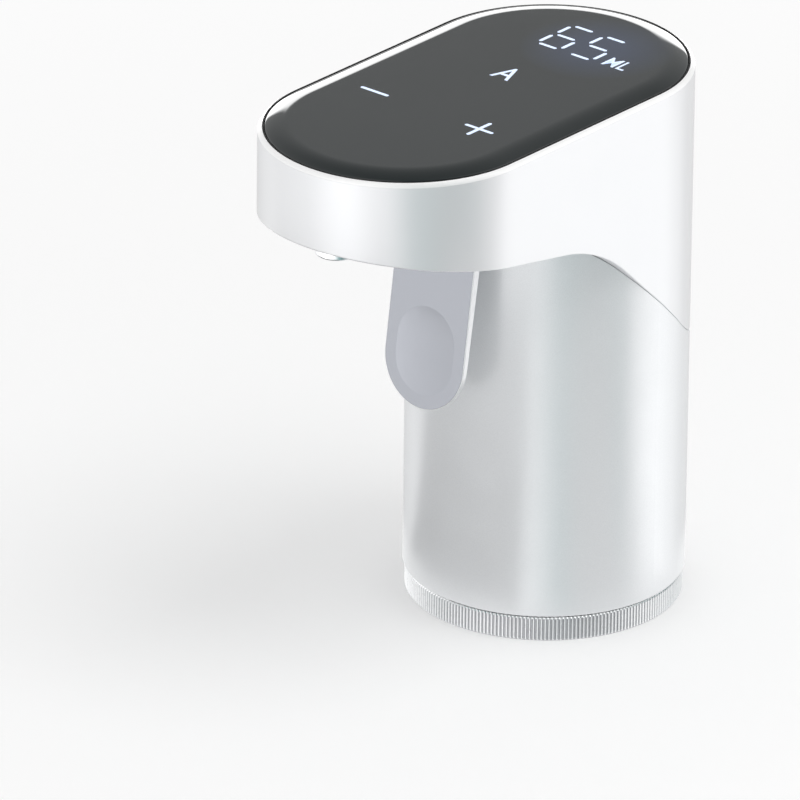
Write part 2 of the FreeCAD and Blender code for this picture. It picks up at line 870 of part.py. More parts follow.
def make_battery():
    """Round cell with its cap, the open cradle that holds it, and its leads."""
    x, y = battery_place
    low = frame_top + floor_thickness + seat_gap
    high = low + battery_length
    cell = rod(battery_radius, low, high, x, y)
    cell = cell.makeFillet(battery_round, edges_at(cell, low) + edges_at(cell, high))
    cell = cell.fuse(rod(battery_cap_radius, high - seat_gap, high + battery_cap_height, x, y))
    save("battery_cell", cell)
    inner = battery_radius + cradle_gap
    cradle = rod(cradle_outer, frame_top, frame_top + floor_thickness, x, y)
    wall_high = frame_top + floor_thickness + cradle_height
    start = -cradle_sweep / 2
    cradle = cradle.fuse(sector(cradle_outer, inner, frame_top, wall_high, start, cradle_sweep, x, y))
    save("battery_cradle", cradle.removeSplitter())
    leads = []
    for shift in (-lead_spread, lead_spread):
        leads.append(bar(lead_radius, V(x + shift, y, high + battery_cap_height), V(x + shift, y, board_low)))
    save("battery_leads", *leads)


def make_motor():
    """Small direct-current motor above the pump: can, magnets, end cap, leads and what turns in it."""
    x, y = pump_place
    inner = motor_radius - motor_wall
    shaft_hole = shaft_radius + running_gap
    can = ring(motor_radius, inner, motor_low, motor_high, x, y)
    can = can.fuse(rod(motor_radius, motor_low, motor_low + motor_wall, x, y))
    can = can.fuse(rod(motor_boss_radius, pump_cover_low, motor_low + motor_boss_height, x, y))
    can = can.cut(rod(shaft_hole, pump_cover_low - 1, motor_low + motor_boss_height + 1, x, y))
    save("motor_can", can.removeSplitter())
    magnet_low = motor_low + magnet_low_inset
    magnet_high = motor_high - magnet_high_inset
    magnet_outer = inner - fit_gap
    magnets = []
    for side in (0, 180):
        start = side - magnet_sweep / 2
        magnets.append(sector(magnet_outer, magnet_inner, magnet_low, magnet_high, start, magnet_sweep, x, y))
    save("motor_magnets", *magnets)
    cap_top = motor_high + motor_cap_thickness
    boss_top = motor_high + motor_cap_boss
    cap = rod(inner - press_gap, motor_high - motor_cap_sink, motor_high, x, y)
    cap = cap.fuse(rod(motor_radius, motor_high, cap_top, x, y))
    cap = cap.fuse(rod(motor_boss_radius, motor_high, boss_top, x, y))
    cap = cap.cut(rod(shaft_hole, motor_high - 2 * motor_cap_sink, boss_top - motor_wall, x, y))
    leads = []
    lead_low = motor_high + motor_tab_height / 2
    lead_y = y + motor_tab_thickness / 2 + lead_radius
    for side in (-1, 1):
        place = x + motor_tab_place * side
        tab = plate(motor_tab_width, motor_tab_thickness, motor_high, motor_high + motor_tab_height, place, y)
        cap = cap.fuse(tab)
        leads.append(bar(lead_radius, V(place, lead_y, lead_low), V(place, lead_y, board_low)))
    save("motor_end_cap", cap.removeSplitter())
    save("motor_leads", *leads)
    make_armature(magnet_low + armature_low_inset, magnet_high - armature_high_inset)
    shaft_low = pump_low + pump_bearing_floor + seat_gap
    save("motor_shaft", rod(shaft_radius, shaft_low, boss_top - motor_wall - 2 * seat_gap, x, y))


def make_armature(core_low, core_high):
    """Armature with its poles and commutator, and the windings round the poles."""
    x, y = pump_place
    core = ring(armature_hub_radius, shaft_radius, core_low, core_high, x, y)
    windings = []
    half_pole = pole_width / 2
    half_coil = coil_width / 2
    slot = half_pole + fit_gap
    shoe_inner = armature_radius - shoe_thickness
    arm_start = shaft_radius + 1
    arm_end = armature_radius - shoe_thickness / 2
    coil_outer = shoe_inner - fit_gap
    coil_low = core_low - coil_overhang
    coil_high = core_high + coil_overhang
    for pole in range(pole_count):
        angle = 360 / pole_count * pole
        arm = block(arm_start, arm_end, -half_pole, half_pole, core_low, core_high)
        coil = block(coil_inner, coil_outer, -half_coil, half_coil, coil_low, coil_high)
        coil = coil.makeFillet(coil_round, coil.Edges)
        coil = coil.cut(block(0, armature_radius, -slot, slot, core_low - fit_gap, core_high + fit_gap))
        coil = coil.common(rod(coil_outer, coil_low, coil_high))
        windings.append(turned(coil, angle, x, y))
        start = angle - shoe_sweep / 2
        shoe = sector(armature_radius, shoe_inner, core_low, core_high, start, shoe_sweep, x, y)
        core = core.fuse(turned(arm, angle, x, y)).fuse(shoe)
    commutator_low = core_high + commutator_rise
    commutator_high = motor_high - commutator_top_gap
    core = core.fuse(ring(commutator_radius, shaft_radius, commutator_low, commutator_high, x, y))
    core = core.fuse(ring(commutator_neck_radius, shaft_radius, core_high, commutator_low + seat_gap, x, y))
    save("motor_armature", core.removeSplitter())
    save("motor_windings", *windings)


def outlet_start():
    """Point and direction where the squeezed hose leaves its arc on the outlet side."""
    turn = math.radians(squeezed_sweep)
    x, y = around(hose_ring, squeezed_sweep)
    point = V(pump_place[0] + x, pump_place[1] + y, hose_level)
    return point, V(-math.sin(turn), math.cos(turn), 0)


def make_pump():
    """Peristaltic pump: housing with the track, cover, rotor and rollers."""
    x, y = pump_place
    track_low = pump_low + pump_floor
    housing = rod(pump_radius, pump_low, pump_cover_low, x, y)
    housing = housing.cut(rod(pump_track, track_low, pump_cover_low + 1, x, y))
    housing = housing.cut(rod(shaft_radius + running_gap, pump_low + pump_bearing_floor, track_low + 1, x, y))
    start, way = outlet_start()
    half_height = squeezed_height / 2 + gate_gap
    half_width = hose_radius + gate_gap
    gate = block(-half_width, half_width, -gate_length, 0, hose_level - half_height, hose_level + half_height)
    inlet = turned(gate.copy(), 0, x + hose_ring, y)
    outlet = turned(gate.copy(), squeezed_sweep + 180, start.x, start.y)
    room = rod(pump_radius + 1, track_low, pump_cover_low, x, y)
    housing = housing.cut(inlet.common(room)).cut(outlet.common(room))
    save("pump_housing", housing.removeSplitter())
    save("pump_cover", ring(pump_radius, motor_boss_radius + seat_gap, pump_cover_low, motor_low, x, y))
    low = track_low + rotor_clearance
    high = pump_cover_low - rotor_clearance
    rotor = ring(rotor_hub_radius, shaft_radius, low, high, x, y)
    rotor = rotor.fuse(ring(rotor_radius, shaft_radius, low, low + rotor_disc, x, y))
    rotor = rotor.fuse(ring(rotor_radius, shaft_radius, high - rotor_disc, high, x, y))
    roller_low = low + rotor_disc + roller_end_gap
    roller_high = high - rotor_disc - roller_end_gap
    for number in range(roller_count):
        px, py = around(roller_place, roller_start_angle + 360 / roller_count * number)
        rotor = rotor.fuse(rod(roller_pin_radius, low, high, x + px, y + py))
        roller = ring(roller_radius, roller_pin_radius + fit_gap, roller_low, roller_high, x + px, y + py)
        save("roller_" + str(number + 1), roller)
    save("pump_rotor", rotor.removeSplitter())


def make_hoses():
    """Hoses: stopper to pump, the squeezed stretch round the rotor, and pump to spout."""
    x, y = pump_place
    outer = pump_track - press_gap
    low = hose_level - squeezed_height / 2
    high = hose_level + squeezed_height / 2
    arc = sector(outer, pump_track - squeezed_width, low, high, 0, squeezed_sweep, x, y)
    start, way = outlet_start()
    front = V(0, -1, 0)
    inlet_mouth = V(x + hose_ring, y, hose_level)
    half = squeezed_width / 2
    flat = block(-half, half - press_gap, -flat_length, 0, low, high)
    flat = turned(flat, 0, inlet_mouth.x, inlet_mouth.y)
    flat_end = inlet_mouth + front * flat_length
    joint = V(inlet_mouth.x, -pump_radius, hose_level)
    stub = bar(hose_radius, flat_end - front * body_gap, joint).cut(bar(hose_bore, flat_end, joint + front))
    flat_out = block(-half + press_gap, half, -flat_out_length, 0, low, high)
    flat_out = turned(flat_out, squeezed_sweep + 180, start.x, start.y)
    leave = start + way * outlet_reach
    flat_out_end = start + way * flat_out_length
    stub_out = bar(hose_radius, flat_out_end - way * body_gap, leave)
    stub_out = stub_out.cut(bar(hose_bore, flat_out_end, leave + way))
    tube = arc.fuse(flat).fuse(stub).fuse(flat_out).fuse(stub_out)
    save("pump_tube", tube.removeSplitter())
    turn_y = joint.y - hose_radius - hose_bend
    elbow_end = V(0, -elbow_radius - seat_gap, inlet_level)
    low_turn = V(0, turn_y, inlet_level)
    high_turn = V(0, turn_y, hose_level)
    save("inlet_tube", hose([elbow_end, low_turn, high_turn, joint], [hose_bend, hose_bend]))
    foot = leave + way * riser_reach
    points = [
        leave,
        foot,
        V(foot.x, foot.y, outlet_level),
        V(foot.x, spout_place + hose_swing_start, outlet_level),
        V(0, spout_place + hose_swing_end, outlet_level),
        V(0, hose_end, outlet_level),
    ]
    save("outlet_tube", hose(points, [riser_foot_bend, riser_bend, *front_hose_bends]))
    joiners = []
    for point, direction in ((joint, front), (leave, way)):
        reach = direction * joiner_reach
        body = bar(barb_radius, point - reach, point + reach)
        joiners.append(body.cut(bar(barb_bore, point - reach * 2, point + reach * 2)))
    save("hose_joiners", *joiners)


def make_inlet_elbow():
    """Elbow in the frame's floor that takes the stopper core's tip and leads to the inlet hose."""
    centre = V(0, 0, inlet_level)
    front = V(0, -1, 0)
    elbow = rod(elbow_radius, frame_floor, inlet_level + hose_radius - seat_gap)
    elbow = elbow.fuse(rod(elbow_flange_radius, frame_top, frame_top + elbow_flange_height))
    barb_start = centre + front * (elbow_radius - barb_root)
    elbow = elbow.fuse(bar(barb_radius, barb_start, centre + front * (elbow_radius + 2 * joiner_reach)))
    elbow = elbow.cut(rod(core_radius + running_gap, frame_floor - 1, core_top + body_gap))
    elbow = elbow.cut(rod(elbow_bore, core_top, inlet_level + elbow_bore))
    elbow = elbow.cut(bar(barb_bore, centre, centre + front * (elbow_radius + 3 * joiner_reach)))
    save("inlet_elbow", elbow.removeSplitter())


def make_spout():
    """Nozzle with its flange, the screen on it and the aerator behind it."""
    flange_top = nozzle_seat + nozzle_flange_height
    nozzle = rod(nozzle_radius, nozzle_low, nozzle_seat + seat_gap, 0, spout_place)
    nozzle = nozzle.fuse(rod(nozzle_flange, nozzle_seat, flange_top, 0, spout_place))
    nozzle = nozzle.cut(rod(nozzle_bore, nozzle_low - 1, flange_top + 1, 0, spout_place)).removeSplitter()
    save("nozzle", nozzle.makeFillet(nozzle_round, edges_at(nozzle, nozzle_low)))
    screen_top = flange_top + screen_thickness
    screen = rod(nozzle_flange - screen_inset, flange_top, screen_top, 0, spout_place)
    holes = []
    for row in range(-2, 3):
        for column in range(-2, 3):
            x = screen_pitch * column
            y = spout_place + screen_pitch * row
            holes.append(rod(screen_hole, flange_top - 1, screen_top + 1, x, y))
    save("aerator_screen", screen.cut(Part.makeCompound(holes)))
    aerator = rod(aerator_radius, screen_top, board_low - body_gap, 0, spout_place)
    aerator = aerator.cut(rod(aerator_bore, screen_top - 1, outlet_level - aerator_roof, 0, spout_place))
    centre = V(0, spout_place, outlet_level)
    barb_start = centre + V(0, aerator_radius - barb_root, 0)
    aerator = aerator.fuse(bar(barb_radius, barb_start, V(0, barb_end, outlet_level)))
    aerator = aerator.cut(bar(barb_bore, centre, V(0, barb_end + 1, outlet_level)))
    aerator = aerator.cut(rod(barb_bore, screen_top, outlet_level, 0, spout_place))
    air_level = screen_top + air_hole_rise
    reach = aerator_radius + 1
    left = V(-reach, spout_place, air_level)
    aerator = aerator.cut(bar(air_hole_radius, left, V(reach, spout_place, air_level)))
    save("aerator_body", aerator.removeSplitter())


def lever_face(z):
    """Place of the leaning blade's front face at a level."""
    return lever_front - lever_lean * (pivot_z - lever_lean_drop - z)


def lever_blade():
    """Leaning blade with a round lower end and softened edges, thinner towards the tip."""
    half = lever_width / 2
    tip = lever_end_centre - lever_round
    top = lever_face(pivot_z)
    side = [
        V(-half, top, pivot_z),
        V(-half, lever_face(tip), tip),
        V(-half, lever_face(tip) + lever_thick_tip, tip),
        V(-half, top + lever_thick_top, pivot_z),
    ]
    blade = Part.Face(Part.makePolygon(side + side[:1])).extrude(V(lever_width, 0, 0))
    front = top - lever_length
    back = top + lever_length
    round_end = bar(lever_round, V(0, front, lever_end_centre), V(0, back, lever_end_centre))
    upper = block(-half, half, front, back, lever_end_centre, pivot_z)
    blade = blade.common(round_end.fuse(upper).removeSplitter())
    rim = []
    for edge in blade.Edges:
        box = edge.BoundBox
        upright = box.ZLength > 2 or box.XLength > 2
        if upright and box.ZMin < pivot_z - 1e-3:
            rim.append(edge)
    return blade.makeFillet(lever_edge, rim)


def lever_dish():
    """Round-ended tool that cuts the long shallow dish along the blade's face."""
    spread = (lever_dish_radius ** 2 + lever_dish_depth ** 2) / (2 * lever_dish_depth)
    outward = V(0, -1, lever_lean).normalize() * (spread - lever_dish_depth)
    upper_z = lever_end_centre + lever_dish_length
    low = V(0, lever_face(lever_end_centre), lever_end_centre) + outward
    high = V(0, lever_face(upper_z), upper_z) + outward
    ends = Part.makeSphere(spread, low, high - low).fuse(Part.makeSphere(spread, high, high - low))
    return ends.fuse(bar(spread, low, high)).removeSplitter()


def make_lever():
    """Lever pushed by a glass, with its dish, hub and tail, and its pin."""
    half = lever_width / 2
    blade = lever_blade()
    blade = blade.cut(lever_dish())
    front = lever_face(pivot_z)
    hub_end = half - lever_spring_room
    back = front + 2 * lever_thick_top
    relief_low = pivot_z - lever_spring_relief
    blade = blade.cut(block(hub_end, half + 1, front - 1, back, relief_low, pivot_z + 1))
    hub = bar(hub_radius, V(-half, pivot_y, pivot_z), V(hub_end, pivot_y, pivot_z))
    tail_back = tail_front + lever_thick_top
    tail_top = pivot_z + tail_height
    tail = block(-tail_width / 2, tail_width / 2, tail_front, tail_back, pivot_z, tail_top)
    hook = block(hook_inner, hook_outer, tail_front, tail_back, pivot_z + hook_low, tail_top - hook_top_gap)
    lever = blade.fuse(hub).fuse(tail).fuse(hook)
    left = V(-half - 1, pivot_y, pivot_z)
    lever = lever.cut(bar(pin_radius + fit_gap, left, V(half + 1, pivot_y, pivot_z)))
    save("dispense_lever", lever.removeSplitter())
    reach = half + ear_gap + ear_thickness
    save("lever_pin", bar(pin_radius, V(-reach, pivot_y, pivot_z), V(reach, pivot_y, pivot_z)))


def make_lever_spring():
    """Torsion spring round the lever's pin, one leg on the cover and one on the lever's hook."""
    length = spring_pitch * spring_turns
    spring = coil(spring_coil, spring_wire, spring_pitch, spring_turns)
    spring.rotate(V(0, 0, 0), V(0, 1, 0), 90)
    spring.translate(V(spring_start, pivot_y, pivot_z))
    foot_y = pivot_y + spring_foot_reach
    foot_z = underside_level(foot_y) + cover_thickness + spring_wire + fit_gap
    end = spring_start + length
    hook_y = tail_front - 4 * spring_wire
    coil_end = V(end, pivot_y, pivot_z + spring_coil)
    hook_start = V(end, hook_y, pivot_z + hook_low)
    legs = [
        bar(spring_wire, V(spring_start, pivot_y, pivot_z - spring_coil), V(spring_start, foot_y, foot_z)),
        bar(spring_wire, coil_end, hook_start),
        bar(spring_wire, hook_start, V(spring_start, hook_y, pivot_z + spring_hook_rise)),
    ]
    save("lever_spring", spring, *legs)


def make_switch():
    """Small switch on the cover, pressed by the lever's tail."""
    half = switch_width / 2
    rear = switch_front + switch_depth
    top = switch_low + switch_height
    body = block(-half, half, switch_front, rear, switch_low, top)
    body = body.makeChamfer(switch_chamfer, edges_at(body, top))
    well_floor = V(0, rear - plunger_well, plunger_level)
    well = bar(plunger_radius + running_gap, well_floor, V(0, rear + 1, plunger_level))
    save("switch_body", body.cut(well))
    start = V(0, rear - plunger_sink, plunger_level)
    save("switch_plunger", bar(plunger_radius, start, V(0, tail_front - plunger_gap, plunger_level)))


def make_base():
    """Knurled ring, and the neck sleeve with its bayonet lugs."""
    points = []
    for step in range(2 * ring_teeth):
        angle = 180 * step / ring_teeth
        radius = ring_radius if step % 2 == 0 else ring_radius - ring_groove
        points.append(V(*around(radius, angle), 0))
    knurl = Part.Face(Part.makePolygon(points + points[:1])).extrude(V(0, 0, ring_height))
    knurl = knurl.cut(rod(sleeve_outer, -1, ring_height + 1))
    knurl = knurl.cut(rod(flange_radius + fit_gap, -1, ring_height - ring_web))
    save("base_ring", knurl)
    outer = sleeve_outer - press_gap
    sleeve = ring(outer, sleeve_bore, 0, sleeve_height)
    sleeve = sleeve.fuse(ring(flange_radius, sleeve_bore, 0, ring_height - ring_web))
    sleeve = sleeve.fuse(ring(outer, core_radius + fit_gap, web_low, sleeve_height))
    lug_inner = sleeve_bore + sleeve_wall / 3
    lug_outer = sleeve_outer + lug_reach
    lug_high = lug_low + lug_height
    for turn in range(lug_count):
        start = lug_centre_angle + 360 / lug_count * turn - lug_half_angle
        sleeve = sleeve.fuse(sector(lug_outer, lug_inner, lug_low, lug_high, start, 2 * lug_half_angle))
    sleeve = sleeve.cut(rod(vent_radius, web_low - 1, sleeve_height + 1, vent_place, 0))
    save("neck_sleeve", sleeve.removeSplitter())


def stopper_outline():
    """Half section of the stopper: a taper with ribs, and the wide flange at its top."""
    inner = core_radius + press_gap
    outline = [
        V(inner, 0, stopper_low),
        V(stopper_tip_radius, 0, stopper_low),
    ]
    step = stopper_length / (stopper_ribs + 1)
    widen = (stopper_top_radius - stopper_tip_radius) / stopper_length
    profile = (
        (-stopper_rib_foot, 0.0),
        (-stopper_rib_crest, stopper_rib),
        (stopper_rib_crest, stopper_rib),
        (stopper_rib_foot, 0.0),
    )
    for rib in range(1, stopper_ribs + 1):
        for shift, proud in profile:
            place = rib * step + shift
            outline.append(V(stopper_tip_radius + widen * place + proud, 0, stopper_low + place))
    outline.append(V(stopper_top_radius, 0, stopper_high))
    outline.append(V(sleeve_bore - seat_gap, 0, stopper_high))
    outline.append(V(sleeve_bore - seat_gap, 0, web_low))
    outline.append(V(inner, 0, web_low))
    return outline


def make_stopper():
    """Soft ribbed stopper, the rigid core through it, its nut, the vent valve and the seal."""
    outline = stopper_outline()
    stopper = Part.Face(Part.makePolygon(outline + outline[:1])).revolve(V(0, 0, 0), V(0, 0, 1), 360)
    save("stopper", stopper.cut(rod(vent_radius, 0, sleeve_height, vent_place, 0)))
    foot_low = stopper_low - core_foot_height
    core = rod(core_radius, foot_low, core_top)
    core = core.fuse(rod(core_foot_radius, foot_low, stopper_low))
    tip = V(0, 0, core_tip_height)
    nose = Part.makeCone(core_nose_radius, core_nose_top_radius, foot_low - core_tip_height, tip)
    core = core.fuse(nose)
    groove_floor = core_radius - core_groove_depth
    groove_high = core_top - core_groove_width
    groove = ring(core_radius + 1, groove_floor, groove_high - core_groove_width, groove_high)
    core = core.cut(groove).cut(rod(core_bore, -1, core_top + 1))
    save("stopper_core", core.removeSplitter())
    seal_radius = groove_floor + seal_thickness / 2 + press_gap
    seal_level = groove_high - core_groove_width / 2
    save("inlet_seal", Part.makeTorus(seal_radius, seal_thickness / 2, V(0, 0, seal_level)))
    corners = []
    for side in range(6):
        x, y = around(nut_flats / math.sqrt(3), 60 * side)
        corners.append(V(x, y, sleeve_height))
    nut = Part.Face(Part.makePolygon(corners + corners[:1])).extrude(V(0, 0, nut_height))
    save("core_nut", nut.cut(rod(core_radius + press_gap, 0, frame_top)))
    valve_top = sleeve_height + valve_height
    valve = rod(valve_radius, sleeve_height, valve_top, vent_place, 0)
    save("vent_valve", valve.makeFillet(valve_round, edges_at(valve, valve_top)))


def main():
    """Build and write every sub-part."""
    make_upper_shell()
    make_underside_cover()
    make_touch_panel()
    make_light_guide_frame()
    make_display()
    make_touch_keys()
    make_control_board()
    make_case_screws()
    make_lower_shell()
    make_charging()
    make_pump_frame()
    make_bayonet_collar()
    make_battery()
    make_motor()
    make_pump()
    make_hoses()
    make_inlet_elbow()
    make_spout()
    make_lever()
    make_lever_spring()
    make_switch()
    make_base()
    make_stopper()


main()
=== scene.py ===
import logging
import math
from dataclasses import dataclass
from enum import Enum
from typing import Callable, Sequence

import bmesh
import bpy
from bmesh.types import BMEdge, BMesh, BMVert
from bpy.types import Material, Node, NodeSocket, NodeTree, Object
from mathutils import Matrix, Vector


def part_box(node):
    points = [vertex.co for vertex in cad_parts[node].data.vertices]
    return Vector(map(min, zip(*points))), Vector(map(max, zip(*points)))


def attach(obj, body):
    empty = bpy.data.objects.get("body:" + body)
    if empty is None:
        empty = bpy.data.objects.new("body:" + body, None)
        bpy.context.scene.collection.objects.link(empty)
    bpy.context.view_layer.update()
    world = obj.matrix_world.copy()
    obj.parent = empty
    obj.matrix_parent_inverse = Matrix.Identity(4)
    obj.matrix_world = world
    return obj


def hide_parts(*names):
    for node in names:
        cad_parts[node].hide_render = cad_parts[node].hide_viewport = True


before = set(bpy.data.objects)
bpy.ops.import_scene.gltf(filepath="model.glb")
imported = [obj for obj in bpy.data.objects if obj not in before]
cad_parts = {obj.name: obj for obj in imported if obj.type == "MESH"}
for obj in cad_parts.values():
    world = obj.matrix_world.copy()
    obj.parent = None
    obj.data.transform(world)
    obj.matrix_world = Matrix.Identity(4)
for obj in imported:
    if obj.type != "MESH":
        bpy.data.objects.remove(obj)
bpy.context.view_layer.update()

# Electric wine aerator, its looks. Lengths that are named in millimetres are turned to metres by MM.
# +Z is up, the spout points to -Y and the charging port to +Y.
MM = 0.001
# Corners nearer than MERGE become one. PLAY tells apart edges at different depths in the outline.
MERGE = 0.0005 * MM
PLAY = 0.05 * MM
# Share of a stroke's width that the round or cut at each of its corners takes.
CORNER_SHARE = 0.48
CORNERS_PER_TOOTH = 4
# The wave texture multiplies every place by this.
WAVE_FACTOR = 20
log = logging.getLogger("aerator")

Colour = tuple[float, float, float]
Section = Sequence[tuple[float, float]]
WHITE = (1.0, 1.0, 1.0)
BLACK = (0.0, 0.0, 0.0)
UP = (0.0, 0.0, 1.0)
EVEN = (1.0, 1.0, 1.0)


class Nodes:
    """A node tree, with short ways to add and join its nodes."""

    def __init__(self, tree: NodeTree) -> None:
        """Keeps the tree that it adds to."""
        self.tree = tree

    def node(self, kind: str, **settings: object) -> Node:
        """Adds a node.

        Args:
            kind: The node's type, without the words that all types start with.
            **settings: The node's own settings.

        Returns:
            The new node.
        """
        made = self.tree.nodes.new("ShaderNode" + kind)
        for key, value in settings.items():
            setattr(made, key, value)
        return made

    def join(self, source: NodeSocket | float | Sequence[float], target: NodeSocket) -> None:
        """Feeds a socket from another socket or with a plain value.

        Args:
            source: The other socket or the value.
            target: The socket to feed.
        """
        if isinstance(source, NodeSocket):
            self.tree.links.new(source, target)
        else:
            target.default_value = source

    def reckon(self, operation: str, *values: NodeSocket | float) -> NodeSocket:
        """A calculation.

        Args:
            operation: The operation's name.
            *values: The sockets and numbers that it takes.

        Returns:
            The socket with the result.
        """
        made = self.node("Math", operation=operation)
        for slot, value in zip(made.inputs, values):
            self.join(value, slot)
        return made.outputs[0]

    def split(self, vector: NodeSocket) -> Node:
        """A vector's three parts.

        Args:
            vector: The vector's socket.

        Returns:
            The node that gives them.
        """
        made = self.node("SeparateXYZ")
        self.join(vector, made.inputs["Vector"])
        return made

    def range(
        self, source: NodeSocket, low: float, high: float, start: float = 0.3, end: float = 0.7
    ) -> NodeSocket:
        """A value moved from one range to another.

        Args:
            source: The value's socket.
            low: The result where the value is at start or below.
            high: The result where the value is at end or above.
            start: The lower end of the value's range.
            end: The upper end of the value's range.

        Returns:
            The socket with the moved value.
        """
        made = self.node("MapRange")
        for key, value in (("From Min", start), ("From Max", end), ("To Min", low), ("To Max", high)):
            made.inputs[key].default_value = value
        self.join(source, made.inputs["Value"])
        return made.outputs["Result"]

    def window(self, value: NodeSocket, centre: float, half: float, soft: float) -> NodeSocket:
        """1 where a value lies near a centre, 0 where it lies further off.

        Args:
            value: The value's socket.
            centre: The middle of the window.
            half: Half of its width.
            soft: The width of its soft edge.

        Returns:
            The socket with the share.
        """
        apart = self.reckon("ABSOLUTE", self.reckon("SUBTRACT", value, centre))
        return self.range(apart, 1.0, 0.0, half, half + soft)

    def bearing(self, way: Node) -> NodeSocket:
        """Bearing of a direction or place in degrees: 0 towards the spout, 90 towards +X.

        Args:
            way: The node that splits the direction.

        Returns:
            The socket with the bearing.
        """
        forward = self.range(way.outputs["Y"], 1.0, -1.0, -1.0, 1.0)
        turn = self.reckon("ARCTAN2", way.outputs["X"], forward)
        return self.range(turn, -180.0, 180.0, -math.pi, math.pi)

    def ramp(
        self, bearing: NodeSocket, stops: Sequence[tuple[float, Sequence[float]]], easing: str = "LINEAR"
    ) -> Node:
        """Colours by bearing.

        Args:
            bearing: The bearing in degrees.
            stops: A bearing and its colour with opacity, in order.
            easing: How the ramp goes from one to the next.

        Returns:
            The ramp's node.
        """
        made = self.node("ValToRGB")
        made.color_ramp.interpolation = easing
        marks = made.color_ramp.elements
        while len(marks) < len(stops):
            marks.new(1.0)
        for mark, (angle, colour) in zip(marks, stops):
            mark.position = (angle + 180.0) / 360.0
            mark.color = colour
        self.join(self.range(bearing, 0.0, 1.0, -180.0, 180.0), made.inputs["Fac"])
        return made

    def mix(self, factor: NodeSocket | float, first: NodeSocket, second: NodeSocket) -> NodeSocket:
        """Two shaders mixed.

        Args:
            factor: 0 for the first, 1 for the second.
            first: The first shader.
            second: The second shader.

        Returns:
            The socket with the mixed shader.
        """
        made = self.node("MixShader")
        for slot, source in zip(made.inputs, (factor, first, second)):
            self.join(source, slot)
        return made.outputs[0]

    def light(
        self, kind: str, strength: NodeSocket | float, colour: NodeSocket | Sequence[float] = (*WHITE, 1.0)
    ) -> NodeSocket:
        """Light of its own.

        Args:
            kind: Emission on a surface, Background in the world.
            strength: Its strength.
            colour: Its colour.

        Returns:
            The socket with the light.
        """
        made = self.node(kind)
        self.join(strength, made.inputs["Strength"])
        self.join(colour, made.inputs["Color"])
        return made.outputs[0]

    def seen(self) -> NodeSocket:
        """1 for rays that see the background itself, also through something clear, and 0 for all others."""
        rays = self.node("LightPath")
        return self.reckon("MAXIMUM", rays.outputs["Is Camera Ray"], rays.outputs["Is Transmission Ray"])


class Graph(Nodes):
    """A material's nodes round its one shader."""

    def __init__(self, name: str) -> None:
        """Starts a material.

        Args:
            name: The material's name.
        """
        self.material = bpy.data.materials.new(name)
        self.material.use_nodes = True
        super().__init__(self.material.node_tree)
        self.shader = self.tree.nodes["Principled BSDF"]
        self.surface = self.tree.nodes["Material Output"].inputs["Surface"]

    def put(self, **values: object) -> None:
        """Feeds the shader's sockets, named with underscores for spaces."""
        for key, value in values.items():
            self.join(value, self.shader.inputs[key.replace("_", " ")])

    def place(self, stretch: Sequence[float] = EVEN) -> NodeSocket:
        """Object coordinates in metres, stretched along the axes.

        Args:
            stretch: Factors along X, Y and Z.

        Returns:
            The socket with the place.
        """
        source = self.node("TexCoord").outputs["Object"]
        if stretch == EVEN:
            return source
        mapping = self.node("Mapping")
        mapping.inputs["Scale"].default_value = stretch
        self.join(source, mapping.inputs["Vector"])
        return mapping.outputs["Vector"]

    def away(self, x: float = 0.0, y: float = 0.0) -> NodeSocket:
        """Distance from an upright line in metres.

        Args:
            x: The line's place along X in millimetres.
            y: Its place along Y.

        Returns:
            The socket with the distance.
        """
        mapping = self.node("Mapping")
        mapping.inputs["Location"].default_value = (-x * MM, -y * MM, 0.0)
        mapping.inputs["Scale"].default_value = (1.0, 1.0, 0.0)
        self.join(self.place(), mapping.inputs["Vector"])
        made = self.node("VectorMath", operation="LENGTH")
        self.join(mapping.outputs["Vector"], made.inputs[0])
        return made.outputs["Value"]

    def noise(self, size: float, detail: float = 2.0, stretch: Sequence[float] = EVEN) -> NodeSocket:
        """Soft noise.

        Args:
            size: The size of its cells in millimetres.
            detail: The number of finer layers.
            stretch: Factors along X, Y and Z on the place where it is read.

        Returns:
            The socket with the noise, from 0 to 1.
        """
        made = self.node("TexNoise")
        made.inputs["Scale"].default_value = 1 / (size * MM)
        made.inputs["Detail"].default_value = detail
        self.join(self.place(stretch), made.inputs["Vector"])
        return made.outputs["Fac"]

    def blend(self, factor: NodeSocket, first: NodeSocket | Colour, second: Colour) -> NodeSocket:
        """A colour between two.

        Args:
            factor: 0 for the first colour, 1 for the second.
            first: Linear colour, or the socket with it.
            second: Linear colour.

        Returns:
            The socket with the colour.
        """
        made = self.node("Mix", data_type="RGBA")
        self.join(first if isinstance(first, NodeSocket) else (*first, 1.0), made.inputs["A"])
        self.join((*second, 1.0), made.inputs["B"])
        self.join(factor, made.inputs["Factor"])
        return made.outputs["Result"]

    def bump(self, height: NodeSocket, depth: float) -> NodeSocket:
        """A surface relief.

        Args:
            height: The relief, from 0 to 1.
            depth: Its depth in millimetres.

        Returns:
            The socket with the new normal.
        """
        made = self.node("Bump")
        made.inputs["Distance"].default_value = depth * MM
        self.join(height, made.inputs["Height"])
        return made.outputs["Normal"]


def linear(red: int, green: int, blue: int) -> Colour:
    """A colour written as on a screen, 0 to 255, as linear values.

    Args:
        red: Its red.
        green: Its green.
        blue: Its blue.

    Returns:
        The linear colour.
    """
    values = []
    for part in (red, green, blue):
        share = part / 255
        values.append(share / 12.92 if share <= 0.04045 else ((share + 0.055) / 1.055) ** 2.4)
    return (values[0], values[1], values[2])


def shaded(colour: Colour, factor: float) -> Colour:
    """A colour made darker or lighter."""
    return (colour[0] * factor, colour[1] * factor, colour[2] * factor)


